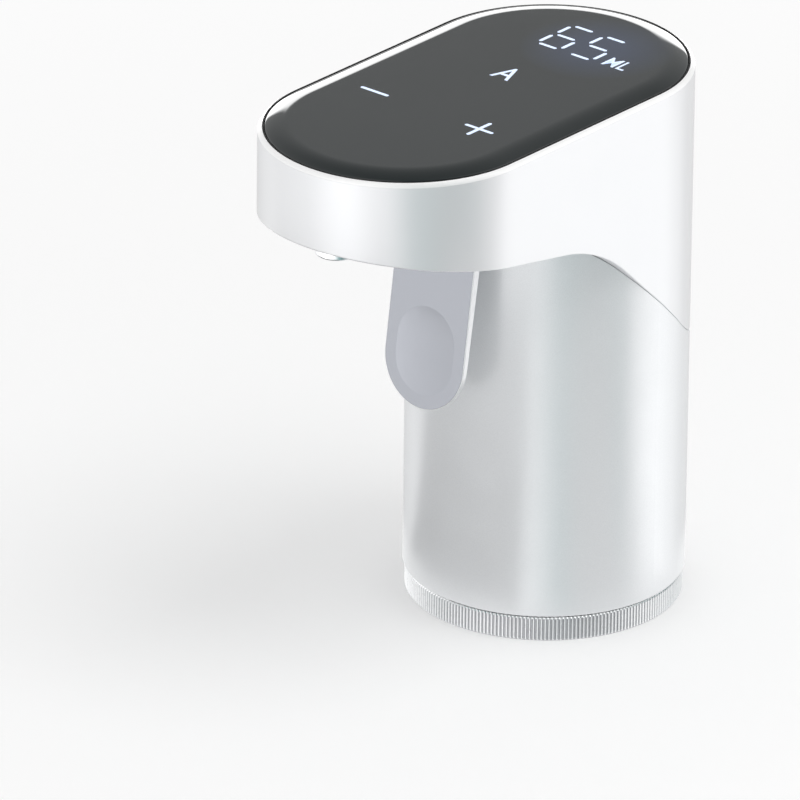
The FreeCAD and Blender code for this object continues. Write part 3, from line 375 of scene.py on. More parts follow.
class Finish:
    """A surface finish."""

    def make(self, name: str) -> Material:
        """Builds the material.

        Args:
            name: The material's name.

        Returns:
            The material.
        """
        graph = Graph(name)
        self.paint(graph)
        return graph.material

    def paint(self, graph: Graph) -> None:
        """Adds the finish's own nodes."""
        raise NotImplementedError


@dataclass(frozen=True)
class MouldedPlastic(Finish):
    """Injection-moulded plastic, from polished to finely grained, with a painted highlight on a rim where
    it has one.

    Sizes are in millimetres. A play is how far a value wanders.
    """

    colour: Colour
    roughness: float = 0.4
    roughness_play: float = 0.06
    tint_play: float = 0.03
    cloud_size: float = 9.0
    smear_share: float = 0.25
    grain_size: float = 0.25
    grain_depth: float = 0.004
    coat: float = 0.0
    coat_roughness: float = 0.1
    specular: float = 0.5
    translucent: float = 0.0
    depth_of_light: float = 1.5
    pearl: float = 0.0
    # Above this height the colour is painted paler, as a highlight along the rim.
    rim_highlight_height: float = 0.0
    rim_highlight_fade: float = 0.05
    rim_highlight_colour: Colour = WHITE

    def paint(self, graph: Graph) -> None:
        """Adds clouds of tint, smears of gloss, the mould's grain and the rim's painted highlight where it
        has one.

        Args:
            graph: The material's nodes.
        """
        cloud = graph.noise(self.cloud_size, detail=3.0)
        colour = graph.blend(cloud, shaded(self.colour, 1 - self.tint_play), self.colour)
        # Painted highlight: the colour turns paler above the rim height, so the rim reads lighter than the
        # flanks.
        if self.rim_highlight_height > 0:
            height = graph.split(graph.place()).outputs["Z"]
            low, high = self.rim_highlight_height * MM, (self.rim_highlight_height + self.rim_highlight_fade) * MM
            colour = graph.blend(graph.range(height, 0.0, 1.0, low, high), colour, self.rim_highlight_colour)
        smear = graph.noise(self.cloud_size * self.smear_share, detail=4.0)
        low, high = self.roughness - self.roughness_play, self.roughness + self.roughness_play
        relief = graph.bump(graph.noise(self.grain_size), self.grain_depth)
        graph.put(Base_Color=colour, Roughness=graph.range(smear, low, high), Normal=relief)
        graph.put(Coat_Weight=self.coat, Coat_Roughness=self.coat_roughness)
        graph.put(Specular_IOR_Level=self.specular, Metallic=self.pearl)
        if self.translucent > 0:
            graph.put(Subsurface_Weight=self.translucent, Subsurface_Scale=self.depth_of_light * MM)
            graph.put(Subsurface_Radius=EVEN)


@dataclass(frozen=True)
class FlakePaint(Finish):
    """Silver paint: fine metal flakes under a clear coat. Sizes are in millimetres."""

    colour: Colour
    flake_size: float = 0.06
    flake_play: float = 0.05
    metallic: float = 0.6
    roughness: float = 0.34
    roughness_play: float = 0.03
    cloud_size: float = 7.0
    peel_size: float = 1.6
    peel_depth: float = 0.0012
    coat: float = 0.6
    coat_roughness: float = 0.06

    def paint(self, graph: Graph) -> None:
        """Adds flakes of their own brightness and the coat's orange peel.

        Args:
            graph: The material's nodes.
        """
        flakes = graph.node("TexVoronoi")
        flakes.inputs["Scale"].default_value = 1 / (self.flake_size * MM)
        graph.join(graph.place(), flakes.inputs["Vector"])
        shade = graph.node("SeparateColor")
        graph.join(flakes.outputs["Color"], shade.inputs["Color"])
        dark, bright = shaded(self.colour, 1 - self.flake_play), shaded(self.colour, 1 + self.flake_play)
        low, high = self.roughness - self.roughness_play, self.roughness + self.roughness_play
        rough = graph.range(graph.noise(self.cloud_size, detail=3.0), low, high)
        peel = graph.bump(graph.noise(self.peel_size, detail=1.0), self.peel_depth)
        graph.put(Base_Color=graph.blend(shade.outputs["Red"], dark, bright), Roughness=rough)
        graph.put(Normal=peel, Coat_Normal=peel, Metallic=self.metallic)
        graph.put(Coat_Weight=self.coat, Coat_Roughness=self.coat_roughness)


@dataclass(frozen=True)
class TintedGlass(Finish):
    """Dark smoked panel: polished, with faint wipe marks in its gloss and a painted glow of the display's
    light round the display.

    Sizes and places are in millimetres.
    """

    colour: Colour
    tint_play: float = 0.06
    cloud_size: float = 16.0
    roughness: float = 0.04
    wipe_play: float = 0.02
    wipe_size: float = 3.0
    wipe_stretch: tuple[float, float, float] = (1.0, 0.25, 1.0)
    specular: float = 0.5
    # Colour of the painted glow that the glass gives off round the display.
    glow: Colour = (0.012, 0.02, 0.05)
    painted_glow_place: tuple[float, float] = (4.9, 7.4)
    painted_glow_reach: tuple[float, float] = (5.0, 15.0)

    def paint(self, graph: Graph) -> None:
        """Adds the tint, the wipe marks and the glow.

        Args:
            graph: The material's nodes.
        """
        cloud = graph.noise(self.cloud_size)
        dark, bright = shaded(self.colour, 1 - self.tint_play), shaded(self.colour, 1 + self.tint_play)
        wipe = graph.noise(self.wipe_size, detail=4.0, stretch=self.wipe_stretch)
        rough = graph.range(wipe, self.roughness, self.roughness + self.wipe_play)
        graph.put(Base_Color=graph.blend(cloud, dark, bright), Roughness=rough)
        # The emission is the painted glow round the display.
        graph.put(Specular_IOR_Level=self.specular, Emission_Strength=1.0, Emission_Color=self.painted_display_glow(graph))

    def painted_display_glow(self, graph: Graph) -> NodeSocket:
        """Painted glow: the display's light, painted as emission into the glass round it.

        Args:
            graph: The material's nodes.

        Returns:
            The socket with the glow's colour.
        """
        # Painted glow, brightest near the display and gone at the far reach.
        near, far = self.painted_glow_reach
        fade = graph.range(graph.away(*self.painted_glow_place), 0.0, 1.0, near * MM, far * MM)
        return graph.blend(fade, self.glow, BLACK)


@dataclass(frozen=True)
class LitMark(Finish):
    """Mark that shines through the panel. Sizes are in millimetres."""

    colour: Colour
    strength: float = 1.0
    dot_size: float = 0.35
    dot_play: float = 0.1
    unlit: float = 0.2
    roughness: float = 0.3

    def paint(self, graph: Graph) -> None:
        """Adds a glow of fine dots.

        Args:
            graph: The material's nodes.
        """
        dots = graph.noise(self.dot_size, detail=1.0)
        glow = graph.blend(dots, shaded(self.colour, 1 - self.dot_play), self.colour)
        graph.put(Emission_Color=glow, Emission_Strength=self.strength)
        graph.put(Base_Color=(*shaded(self.colour, self.unlit), 1.0), Roughness=self.roughness)


@dataclass(frozen=True)
class WorkedMetal(Finish):
    """Metal with fine tool marks drawn out along one way. Sizes are in millimetres."""

    colour: Colour
    roughness: float = 0.25
    stretch: tuple[float, float, float] = (1.0, 1.0, 0.05)
    mark_size: float = 0.12
    mark_depth: float = 0.002
    mark_gloss: tuple[float, float] = (-0.06, 0.08)
    tarnish: float = 0.08
    tarnish_size: float = 2.5
    metallic: float = 1.0

    def paint(self, graph: Graph) -> None:
        """Adds the metal's colour and its tool marks.

        Args:
            graph: The material's nodes.
        """
        marks = graph.noise(self.mark_size, detail=3.0, stretch=self.stretch)
        low, high = (self.roughness + play for play in self.mark_gloss)
        graph.put(Base_Color=self.tone(graph), Roughness=graph.range(marks, low, high))
        graph.put(Normal=graph.bump(marks, self.mark_depth), Metallic=self.metallic)

    def tone(self, graph: Graph) -> NodeSocket:
        """The metal's colour, cloudy where it is tarnished.

        Args:
            graph: The material's nodes.

        Returns:
            The socket with the colour.
        """
        cloud = graph.noise(self.tarnish_size, detail=4.0)
        return graph.blend(cloud, shaded(self.colour, 1 - self.tarnish), self.colour)


@dataclass(frozen=True)
class KnurledMetal(WorkedMetal):
    """Bright metal with painted shade in its upright grooves, up to a plain shoulder. Millimetres."""

    roughness: float = 0.3
    stretch: tuple[float, float, float] = (1.0, 1.0, 0.08)
    mark_gloss: tuple[float, float] = (-0.04, 0.06)
    metallic: float = 0.65
    # dark is the colour of the painted shade in the grooves.
    dark: Colour = BLACK
    groove_radius: float = 26.36
    crest_radius: float = 26.54
    shoulder: tuple[float, float] = (4.35, 4.5)

    def tone(self, graph: Graph) -> NodeSocket:
        """The metal's colour, with painted shade in the grooves.

        Args:
            graph: The material's nodes.

        Returns:
            The socket with the colour.
        """
        # Painted shade: the colour goes to dark towards the groove bottoms, below the shoulder.
        crest = graph.range(graph.away(), 0.0, 1.0, self.groove_radius * MM, self.crest_radius * MM)
        height = graph.split(graph.place()).outputs["Z"]
        low, high = self.shoulder
        upper = graph.range(height, 0.0, 1.0, low * MM, high * MM)
        return graph.blend(graph.reckon("MAXIMUM", crest, upper), self.dark, self.colour)


@dataclass(frozen=True)
class ClearTube(Finish):
    """Milky clear silicone hose. Sizes are in millimetres."""

    colour: Colour
    haze_size: float = 1.2
    haze_play: float = 0.07
    roughness: tuple[float, float] = (0.22, 0.34)
    skin_size: float = 0.4
    skin_depth: float = 0.004
    clear: float = 0.45
    refraction: float = 1.41

    def paint(self, graph: Graph) -> None:
        """Adds haze inside the silicone and its soft skin.

        Args:
            graph: The material's nodes.
        """
        haze = graph.noise(self.haze_size, detail=3.0)
        colour = graph.blend(haze, shaded(self.colour, 1 - self.haze_play), self.colour)
        relief = graph.bump(graph.noise(self.skin_size, detail=1.0), self.skin_depth)
        graph.put(Base_Color=colour, Roughness=graph.range(haze, *self.roughness), Normal=relief)
        graph.put(Transmission_Weight=self.clear, IOR=self.refraction)


@dataclass(frozen=True)
class Laminate(Finish):
    """Circuit board: solder mask over copper tracks. Sizes are in millimetres."""

    mask: Colour
    track: Colour
    track_pitch: float = 0.9
    track_bend: float = 0.6
    track_edge: tuple[float, float] = (0.06, 0.1)
    track_height: float = 0.02
    cloud_size: float = 1.5
    roughness: tuple[float, float] = (0.3, 0.42)

    def paint(self, graph: Graph) -> None:
        """Adds the tracks, raised under the mask.

        Args:
            graph: The material's nodes.
        """
        cells = graph.node("TexVoronoi", distance="MANHATTAN", feature="DISTANCE_TO_EDGE")
        cells.inputs["Scale"].default_value = 1 / (self.track_pitch * MM)
        cells.inputs["Randomness"].default_value = self.track_bend
        graph.join(graph.place(), cells.inputs["Vector"])
        track = graph.range(cells.outputs["Distance"], 1.0, 0.0, *self.track_edge)
        graph.put(Base_Color=graph.blend(track, self.mask, self.track))
        graph.put(Normal=graph.bump(track, self.track_height))
        graph.put(Roughness=graph.range(graph.noise(self.cloud_size), *self.roughness))


@dataclass(frozen=True)
class WoundCopper(Finish):
    """Enamelled wire laid turn by turn. Sizes are in millimetres."""

    colour: Colour
    wire: float = 0.3
    wander: float = 0.6
    gap_shade: float = 0.45
    gap_depth: float = 0.08
    cloud_size: float = 0.8
    roughness: tuple[float, float] = (0.22, 0.32)
    metallic: float = 0.9

    def paint(self, graph: Graph) -> None:
        """Adds the turns of wire, dark in between.

        Args:
            graph: The material's nodes.
        """
        turns = graph.node("TexWave", bands_direction="Z")
        turns.inputs["Scale"].default_value = 2 * math.pi / (self.wire * MM * WAVE_FACTOR)
        turns.inputs["Distortion"].default_value = self.wander
        graph.join(graph.place(), turns.inputs["Vector"])
        crest = turns.outputs["Fac"]
        graph.put(Base_Color=graph.blend(crest, shaded(self.colour, self.gap_shade), self.colour))
        graph.put(Normal=graph.bump(crest, self.gap_depth), Metallic=self.metallic)
        graph.put(Roughness=graph.range(graph.noise(self.cloud_size), *self.roughness))


FINISHES: dict[str, Finish] = {
    "white_shell": MouldedPlastic(
        linear(232, 233, 235),
        roughness=0.3,
        roughness_play=0.012,
        tint_play=0.008,
        cloud_size=14.0,
        grain_size=1.4,
        grain_depth=0.0006,
        coat=0.5,
        coat_roughness=0.14,
        pearl=0.18,
        # The head's rim above this height gets a painted highlight in the paler colour below.
        rim_highlight_height=107.80,
        rim_highlight_colour=linear(252, 252, 252),
    ),
    "silver_column": FlakePaint(linear(232, 234, 236), metallic=0.2, roughness=0.36, coat=0.4),
    "tinted_panel": TintedGlass(linear(32, 38, 39)),
    # The ring's grooves get painted shade in the darker colour.
    "knurled_ring": KnurledMetal(linear(229, 230, 231), dark=linear(174, 175, 178)),
    "lever_plastic": MouldedPlastic(
        linear(161, 164, 172),
        roughness=0.24,
        roughness_play=0.02,
        tint_play=0.01,
        cloud_size=10.0,
        grain_size=0.8,
        grain_depth=0.0006,
        coat=0.5,
        pearl=0.26,
    ),
    "nozzle_steel": WorkedMetal(
        linear(228, 229, 231), roughness=0.34, stretch=(1.0, 1.0, 0.1), tarnish=0.03
    ),
    "sleeve_plastic": MouldedPlastic(linear(196, 198, 200), roughness=0.42, grain_depth=0.008),
    "stopper_silicone": MouldedPlastic(
        linear(70, 72, 74),
        roughness=0.5,
        roughness_play=0.08,
        tint_play=0.06,
        cloud_size=4.0,
        grain_size=0.2,
        grain_depth=0.006,
        translucent=0.1,
    ),
    "core_plastic": MouldedPlastic(linear(222, 222, 218), roughness=0.35),
    "clear_hose": ClearTube(linear(226, 230, 232)),
    "seal_rubber": MouldedPlastic(
        linear(20, 20, 21),
        roughness=0.7,
        roughness_play=0.05,
        tint_play=0.1,
        cloud_size=3.0,
        grain_size=0.2,
        grain_depth=0.005,
        specular=0.2,
    ),
    "frame_plastic": MouldedPlastic(linear(48, 50, 53), roughness=0.5, grain_depth=0.01),
    "rotor_plastic": MouldedPlastic(linear(226, 224, 216), roughness=0.38),
    "roller_plastic": MouldedPlastic(linear(124, 160, 196), roughness=0.3),
    "motor_steel": WorkedMetal(linear(178, 180, 184), roughness=0.28, tarnish=0.12),
    "motor_cap_plastic": MouldedPlastic(linear(243, 243, 238), roughness=0.45),
    "magnet_ferrite": MouldedPlastic(
        linear(62, 61, 60),
        roughness=0.6,
        roughness_play=0.1,
        tint_play=0.15,
        cloud_size=2.0,
        grain_size=0.15,
        grain_depth=0.02,
    ),
    "copper_wire": WoundCopper(linear(198, 112, 62)),
    "screw_steel": WorkedMetal(linear(186, 187, 190), roughness=0.3, stretch=EVEN),
    "lit_mark": LitMark(linear(202, 219, 250)),
    "board_laminate": Laminate(linear(22, 78, 52), linear(52, 116, 74)),
    "chip_black": MouldedPlastic(linear(30, 31, 33), roughness=0.52, grain_size=0.12, grain_depth=0.01),
    "opal_guide": MouldedPlastic(linear(228, 232, 236), translucent=0.5),
    "cell_wrap": MouldedPlastic(
        linear(44, 96, 152), roughness=0.3, grain_size=1.5, grain_depth=0.01, coat=0.3
    ),
    "lead_wire": MouldedPlastic(linear(168, 36, 34)),
}


class Dresser:
    """Builds each finish once and gives it to the parts that carry it."""

    def __init__(self) -> None:
        """Starts with no finish built."""
        self.made: dict[str, Material] = {}

    def material(self, slot: str) -> Material:
        """The material of a slot, built the first time it is asked for.

        Args:
            slot: The slot's name.

        Returns:
            The material.
        """
        if slot not in self.made:
            self.made[slot] = FINISHES[slot].make("finish_" + slot)
        return self.made[slot]

    def dress_frame(self) -> None:
        """Gives every carried-over part the finish of its own slot."""
        for name, part in sorted(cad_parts.items()):
            for held in part.material_slots:
                held.material = self.material(held.material.name.split(".")[0])
            log.info("dressed %s", name)


def object_from(bm: BMesh, name: str, material: Material) -> Object:
    """Turns a bmesh into an object of the scene.

    Args:
        bm: The mesh, in metres and in place. It is freed.
        name: The object's name.
        material: Its finish.

    Returns:
        The object.
    """
    mesh = bpy.data.meshes.new(name)
    bm.to_mesh(mesh)
    bm.free()
    mesh.materials.append(material)
    made = bpy.data.objects.new(name, mesh)
    bpy.context.scene.collection.objects.link(made)
    return made


def piece_from(bm: BMesh, name: str, body: str, material: Material, crease: float = 35.0) -> Object:
    """Turns a finished bmesh into a piece that rides on a body.

    Args:
        bm: The mesh, in metres and in place. It is freed.
        name: The piece's name.
        body: The body that it rides on.
        material: Its finish.
        crease: Edges that turn by more degrees than this are sharp.

    Returns:
        The piece.
    """
    bmesh.ops.remove_doubles(bm, verts=bm.verts[:], dist=MERGE)
    bmesh.ops.recalc_face_normals(bm, faces=bm.faces[:])
    for face in bm.faces:
        face.smooth = True
    for edge in bm.edges:
        edge.smooth = edge.calc_face_angle(0.0) < math.radians(crease)
    piece = object_from(bm, name, material)
    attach(piece, body)
    log.info("%s: %d faces on %s", name, len(piece.data.polygons), body)
    return piece


def edges_where(bm: BMesh, test: Callable[[Vector], bool]) -> list[BMEdge]:
    """Edges whose two ends both pass a test."""
    return [edge for edge in bm.edges if all(test(vert.co) for vert in edge.verts)]


def soften(bm: BMesh, edges: list[BMEdge], width: float, segments: int, profile: float = 0.5) -> None:
    """Rounds edges.

    Args:
        bm: The mesh.
        edges: The edges to round.
        width: The round's width in metres.
        segments: The number of faces across it.
        profile: 0.5 for a full round, 0.25 for a flat chamfer.
    """
    bmesh.ops.bevel(
        bm,
        geom=edges,
        offset=width,
        offset_type="OFFSET",
        affect="EDGES",
        segments=segments,
        profile=profile,
        material=-1,
        clamp_overlap=True,
    )


@dataclass(frozen=True)
class Outline:
    """The head's outline from above: two half rounds joined by straight flanks, in metres."""

    radius: float
    arm: float
    turn_steps: int = 72
    arm_steps: int = 44

    @classmethod
    def of_head(cls) -> "Outline":
        """The outline that the frame gives the head."""
        low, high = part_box("upper_shell")
        return cls(radius=high.x, arm=-low.y - high.x)

    def sweep(self, bm: BMesh, section: Section, closed: bool) -> None:
        """Sweeps a section all the way round.

        Args:
            bm: The mesh to add to.
            section: Points as distance from the centre line and height, in metres.
            closed: Whether the section's last point is joined to its first.
        """
        verts = [bm.verts.new((reach, 0.0, height)) for reach, height in section]
        pairs = list(zip(verts, verts[1:]))
        if closed:
            pairs.append((verts[-1], verts[0]))
        geom: list = verts + [bm.edges.new(pair) for pair in pairs]
        front = Vector((0.0, -self.arm, 0.0))
        step = Vector((0.0, self.arm / self.arm_steps, 0.0))
        legs = (
            (Vector(), math.pi, Vector(), self.turn_steps),
            (Vector(), 0.0, -step, self.arm_steps),
            (front, math.pi, Vector(), self.turn_steps),
            (front, 0.0, step, self.arm_steps),
        )
        for centre, angle, shift, steps in legs:
            spun = bmesh.ops.spin(
                bm, geom=geom, cent=centre, axis=UP, dvec=shift, angle=angle, steps=steps, use_merge=False
            )
            geom = spun["geom_last"]
        bmesh.ops.remove_doubles(bm, verts=bm.verts[:], dist=MERGE)

    def depth(self, edge: BMEdge) -> float:
        """How far inside the outline an edge lies.

        Args:
            edge: The edge.

        Returns:
            The distance in metres.
        """
        place = (edge.verts[0].co + edge.verts[1].co) / 2
        beyond = place.y - min(max(place.y, -self.arm), 0.0)
        return self.radius - math.hypot(place.x, beyond)


class StrokeEnd(Enum):
    """How a stroke of a mark ends: the number of faces across each of its corners."""

    POINTED = 1
    ROUND = 5


@dataclass(frozen=True)
class Seam:
    """The line where the head meets the column, seen from the side. Millimetres."""

    underside: float = 80.05
    underside_slope: float = -0.182
    skirt: float = 66.57
    skirt_slope: float = -0.9325
    rear: float = 51.5
    front_bend: float = 34.8
    rear_bend: float = 27.5

    def level(self, y: float) -> float:
        """Height of the seam.

        Args:
            y: Place along the head in metres.

        Returns:
            Height in metres.
        """
        place = y / MM
        runs = (
            (self.underside, self.underside_slope, self.front_bend),
            (self.skirt, self.skirt_slope, self.rear_bend),
            (self.rear, 0.0, 0.0),
        )
        for (high, slope, bend), (next_high, next_slope, _) in zip(runs, runs[1:]):
            corner = (high - next_high) / (next_slope - slope)
            before, after = math.atan(slope), math.atan(next_slope)
            reach = bend * math.tan(abs(after - before) / 2)
            if place < corner - reach * math.cos(before):
                return (high + slope * place) * MM
            if place < corner + reach * math.cos(after):
                side = 1.0 if after > before else -1.0
                middle = corner - reach * math.cos(before) - side * bend * math.sin(before)
                height = high + slope * corner - reach * math.sin(before) + side * bend * math.cos(before)
                return (height - side * math.sqrt(bend ** 2 - (place - middle) ** 2)) * MM
        return self.rear * MM


@dataclass
class HeadShell:
    """White head with its skirt, the recess for the panel and the screw pillars. Millimetres."""

    outline: Outline
    dresser: Dresser
    seam: Seam = Seam()
    wall: float = 2.0
    recess: float = 0.95
    ledge: float = 3.1
    recess_depth: float = 1.6
    ledge_depth: float = 3.3
    rim_round: float = 0.85
    rim_steps: int = 6
    rim_profile: float = 0.32
    lip_round: float = 0.15
    lip_steps: int = 3
    seam_round: float = 0.3
    seam_steps: int = 4
    crease: float = 30.0
    pillar_radius: float = 2.7
    pillar_bore: float = 0.95
    pillar_reach: float = 20.8
    pillar_height: float = 3.4
    pillar_steps: int = 32
    rear_pillar_angle: float = 64.0
    middle_pillar_place: float = -20.0
    front_pillar_angle: float = 20.0

    def build(self) -> None:
        """Builds the shell."""
        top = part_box("upper_shell")[1].z
        radius = self.outline.radius
        inner = radius - self.wall * MM
        lip = radius - self.recess * MM
        ledge = radius - self.ledge * MM
        floor = top - self.recess_depth * MM
        under = top - self.ledge_depth * MM
        bm = bmesh.new()
        outside = [(radius, 0.0), (radius, top), (lip, top), (lip, floor)]
        section = outside + [(ledge, floor), (ledge, under), (inner, under), (inner, 0.0)]
        self.outline.sweep(bm, section, closed=True)
        for vert in bm.verts:
            if vert.co.z < MERGE:
                vert.co.z = self.seam.level(vert.co.y)
        upper = edges_where(bm, lambda co: co.z > top - MERGE)
        rim = [edge for edge in upper if self.outline.depth(edge) < PLAY]
        mouth = [edge for edge in upper if abs(self.outline.depth(edge) - self.recess * MM) < PLAY]
        lower = edges_where(bm, lambda co: abs(co.z - self.seam.level(co.y)) < MERGE)
        foot = [edge for edge in lower if self.outline.depth(edge) < PLAY]
        soften(bm, rim, self.rim_round * MM, self.rim_steps, self.rim_profile)
        soften(bm, mouth, self.lip_round * MM, self.lip_steps)
        soften(bm, foot, self.seam_round * MM, self.seam_steps)
        self.add_pillars(bm)
        shell = piece_from(bm, "head_shell", "housing", self.dresser.material("white_shell"), self.crease)
        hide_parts("upper_shell")

    def pillar_places(self) -> list[tuple[float, float]]:
        """Centres of the six screw pillars.

        Returns:
            Places along X and Y in metres.
        """
        groups = (
            (self.rear_pillar_angle, 0.0),
            (180.0 - self.rear_pillar_angle, 0.0),
            (0.0, self.middle_pillar_place * MM),
            (180.0, self.middle_pillar_place * MM),
            (-self.front_pillar_angle, -self.outline.arm),
            (180.0 + self.front_pillar_angle, -self.outline.arm),
        )
        reach = self.pillar_reach * MM
        places = []
        for angle, centre in groups:
            turn = math.radians(angle)
            places.append((reach * math.cos(turn), centre + reach * math.sin(turn)))
        return places

    def add_pillars(self, bm: BMesh) -> None:
        """Adds the hollow screw pillars under the board.

        Args:
            bm: The mesh to add to.
        """
        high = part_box("control_board")[0].z
        low = high - self.pillar_height * MM
        inner, outer = self.pillar_bore * MM, self.pillar_radius * MM
        for x, y in self.pillar_places():
            section = [(inner, low), (outer, low), (outer, high), (inner, high)]
            turn_section(bm, section, self.pillar_steps, Vector((x, y, 0.0)))


def turn_section(bm: BMesh, section: Section, steps: int, centre: Vector) -> None:
    """Turns a closed section into a ring round a vertical axis.

    Args:
        bm: The mesh to add to.
        section: Points as distance from the axis and height, in metres.
        steps: The number of faces round.
        centre: A point on the axis.
    """
    verts = [bm.verts.new((centre.x + reach, centre.y, height)) for reach, height in section]
    edges = [bm.edges.new(pair) for pair in zip(verts, verts[1:] + verts[:1])]
    geom = verts + edges
    bmesh.ops.spin(bm, geom=geom, cent=centre, axis=UP, angle=2 * math.pi, steps=steps, use_merge=True)


def round_corners(bm: BMesh, corners: list[BMVert], width: float, steps: int) -> None:
    """Rounds or cuts the corners at the end of a flat stroke.

    Args:
        bm: The mesh.
        corners: The corners.
        width: The stroke's width in millimetres.
        steps: The number of faces across each corner.
    """
    reach = width * CORNER_SHARE * MM
    bmesh.ops.bevel(
        bm, geom=corners, offset=reach, affect="VERTICES", segments=steps, profile=0.5, material=-1
    )


def verts_of(geom: list) -> list[BMVert]:
    """The corners among what an operator made."""
    return [part for part in geom if isinstance(part, BMVert)]


@dataclass(frozen=True)
class Digit:
    """One figure of the display: where it starts along X in millimetres, and its strokes that are lit."""

    start: float
    lit: str


@dataclass
class TouchTop:
    """Tinted touch panel with its lit marks. Millimetres, places from the column's axis."""

    outline: Outline
    dresser: Dresser
    curve: float = 10.0
    fall_width: float = 4.55
    curve_steps: int = 16
    edge_gap: float = 0.17
    edge_round: float = 0.3
    edge_steps: int = 4
    seal_gap: float = 0.03
    seal_rise: float = 0.07
    seal_inner: float = 23.9
    mark_rise: float = 0.01
    mark_depth: float = 0.03
    stroke: float = 0.78
    digit_stroke: float = 0.74
    minus_place: tuple[float, float] = (-13.0, -36.1)
    plus_place: tuple[float, float] = (12.9, -36.7)
    sign_width: float = 6.7
    sign_height: float = 7.0
    digits: tuple[Digit, ...] = (
        Digit(-4.9, "top left_high middle left_low right_low bottom"),
        Digit(2.9, "top left_high middle right_low bottom"),
    )
    digit_width: float = 4.3
    digit_rows: tuple[float, float, float] = (2.1, 7.5, 12.8)
    digit_gap: float = 0.74
    digit_side: float = 0.55
    auto_box: tuple[float, float, float, float] = (-2.1, -15.9, 2.3, -10.4)
    auto_bold: float = 0.006
    unit_box: tuple[float, float, float, float] = (10.1, 2.1, 15.3, 6.0)
    unit_bold: float = 0.004
    letter_steps: int = 4

    def build(self) -> None:
        """Builds the panel and its marks."""
        self.build_glass()
        self.build_seal()
        self.build_signs()
        self.build_figures()
        self.build_letter("mark_auto", "A", self.auto_box, self.auto_bold)
        self.build_letter("display_unit", "ML", self.unit_box, self.unit_bold)

    def build_glass(self) -> None:
        """Panel, flat in the middle, whose upper face curves down to the rim all round."""
        low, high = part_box("touch_panel")
        top = high.z - self.mark_rise * MM
        edge = high.x - self.edge_gap * MM
        reach = self.fall_width * MM
        curve = self.curve * MM
        turn = math.asin(reach / curve)
        section = [(edge, low.z)]
        for step in range(self.curve_steps + 1):
            angle = turn * (1 - step / self.curve_steps)
            section.append((edge - reach + curve * math.sin(angle), top - curve * (1 - math.cos(angle))))
        bm = bmesh.new()
        self.outline.sweep(bm, section, closed=False)
        rims = [part for part in bm.edges if part.is_boundary]
        bmesh.ops.holes_fill(bm, edges=rims, sides=0)
        brow = section[1][1]
        shoulder = edges_where(bm, lambda co: abs(co.z - brow) < MERGE)
        soften(bm, shoulder, self.edge_round * MM, self.edge_steps)
        panel = piece_from(bm, "panel_glass", "housing", self.dresser.material("tinted_panel"))
        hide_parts("touch_panel")

    def build_seal(self) -> None:
        """Black seal that lies under the panel's edge and fills the gap round it; in the gap it is partly a
        real seal and partly painted shade, a dark piece put where the gap's shade falls.
        """
        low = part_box("panel_gasket")[0].z
        panel_low, panel_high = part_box("touch_panel")
        under = panel_low.z
        inner = self.seal_inner * MM
        glass = panel_high.x - (self.edge_gap - self.seal_gap) * MM
        outer = self.outline.radius - (HeadShell.recess + self.seal_gap) * MM
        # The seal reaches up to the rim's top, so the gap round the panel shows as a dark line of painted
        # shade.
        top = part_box("upper_shell")[1].z + self.seal_rise * MM
        section = [(inner, low), (outer, low), (outer, top), (glass, top), (glass, under), (inner, under)]
        bm = bmesh.new()
        self.outline.sweep(bm, section, closed=True)
        seal = piece_from(bm, "panel_seal_and_gap_shade", "housing", self.dresser.material("seal_rubber"))
        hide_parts("panel_gasket")

    def lay(self, bm: BMesh, name: str) -> None:
        """Gives flat strokes their thickness and lays them in the panel as a lit piece.

        Args:
            bm: Flat strokes at height 0, in metres.
            name: The piece's name.
        """
        under = verts_of(bmesh.ops.extrude_face_region(bm, geom=bm.faces[:])["geom"])
        bmesh.ops.translate(bm, verts=under, vec=(0.0, 0.0, -self.mark_depth * MM))
        bmesh.ops.translate(bm, verts=bm.verts[:], vec=(0.0, 0.0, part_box("touch_panel")[1].z))
        mark = piece_from(bm, name, "housing", self.dresser.material("lit_mark"))

    def add_stroke(self, bm: BMesh, start: Vector, end: Vector, width: float, ends: StrokeEnd) -> None:
        """Adds one flat stroke.

        Args:
            bm: The mesh to add to.
            start: Its first end in millimetres.
            end: Its other end.
            width: Its width in millimetres.
            ends: How its ends are cut.
        """
        along = end - start
        verts = bmesh.ops.create_grid(bm, x_segments=1, y_segments=1, size=0.5)["verts"]
        bmesh.ops.scale(bm, verts=verts, vec=(along.length * MM, width * MM, 1.0))
        turn = Matrix.Rotation(math.atan2(along.y, along.x), 3, "Z")
        bmesh.ops.rotate(bm, verts=verts, cent=(0.0, 0.0, 0.0), matrix=turn)
        bmesh.ops.translate(bm, verts=verts, vec=(start + end) * (MM / 2))
        round_corners(bm, verts, width, ends.value)

    def build_signs(self) -> None:
        """Builds minus and plus."""
        half = Vector((self.sign_width / 2, 0.0, 0.0))
        bm = bmesh.new()
        middle = Vector((*self.minus_place, 0.0))
        self.add_stroke(bm, middle - half, middle + half, self.stroke, StrokeEnd.ROUND)
        self.lay(bm, "mark_minus")
        bm = bmesh.new()
        bmesh.ops.create_grid(bm, x_segments=1, y_segments=1, size=self.stroke / 2 * MM)
        for edge in bm.edges[:]:
            out = (edge.verts[0].co + edge.verts[1].co) / 2
            reach = self.sign_width if abs(out.x) > abs(out.y) else self.sign_height
            tips = verts_of(bmesh.ops.extrude_edge_only(bm, edges=[edge])["geom"])
            bmesh.ops.translate(bm, verts=tips, vec=out.normalized() * ((reach - self.stroke) / 2 * MM))
            round_corners(bm, tips, self.stroke, StrokeEnd.ROUND.value)
        bmesh.ops.translate(bm, verts=bm.verts[:], vec=Vector((*self.plus_place, 0.0)) * MM)
        self.lay(bm, "mark_plus")

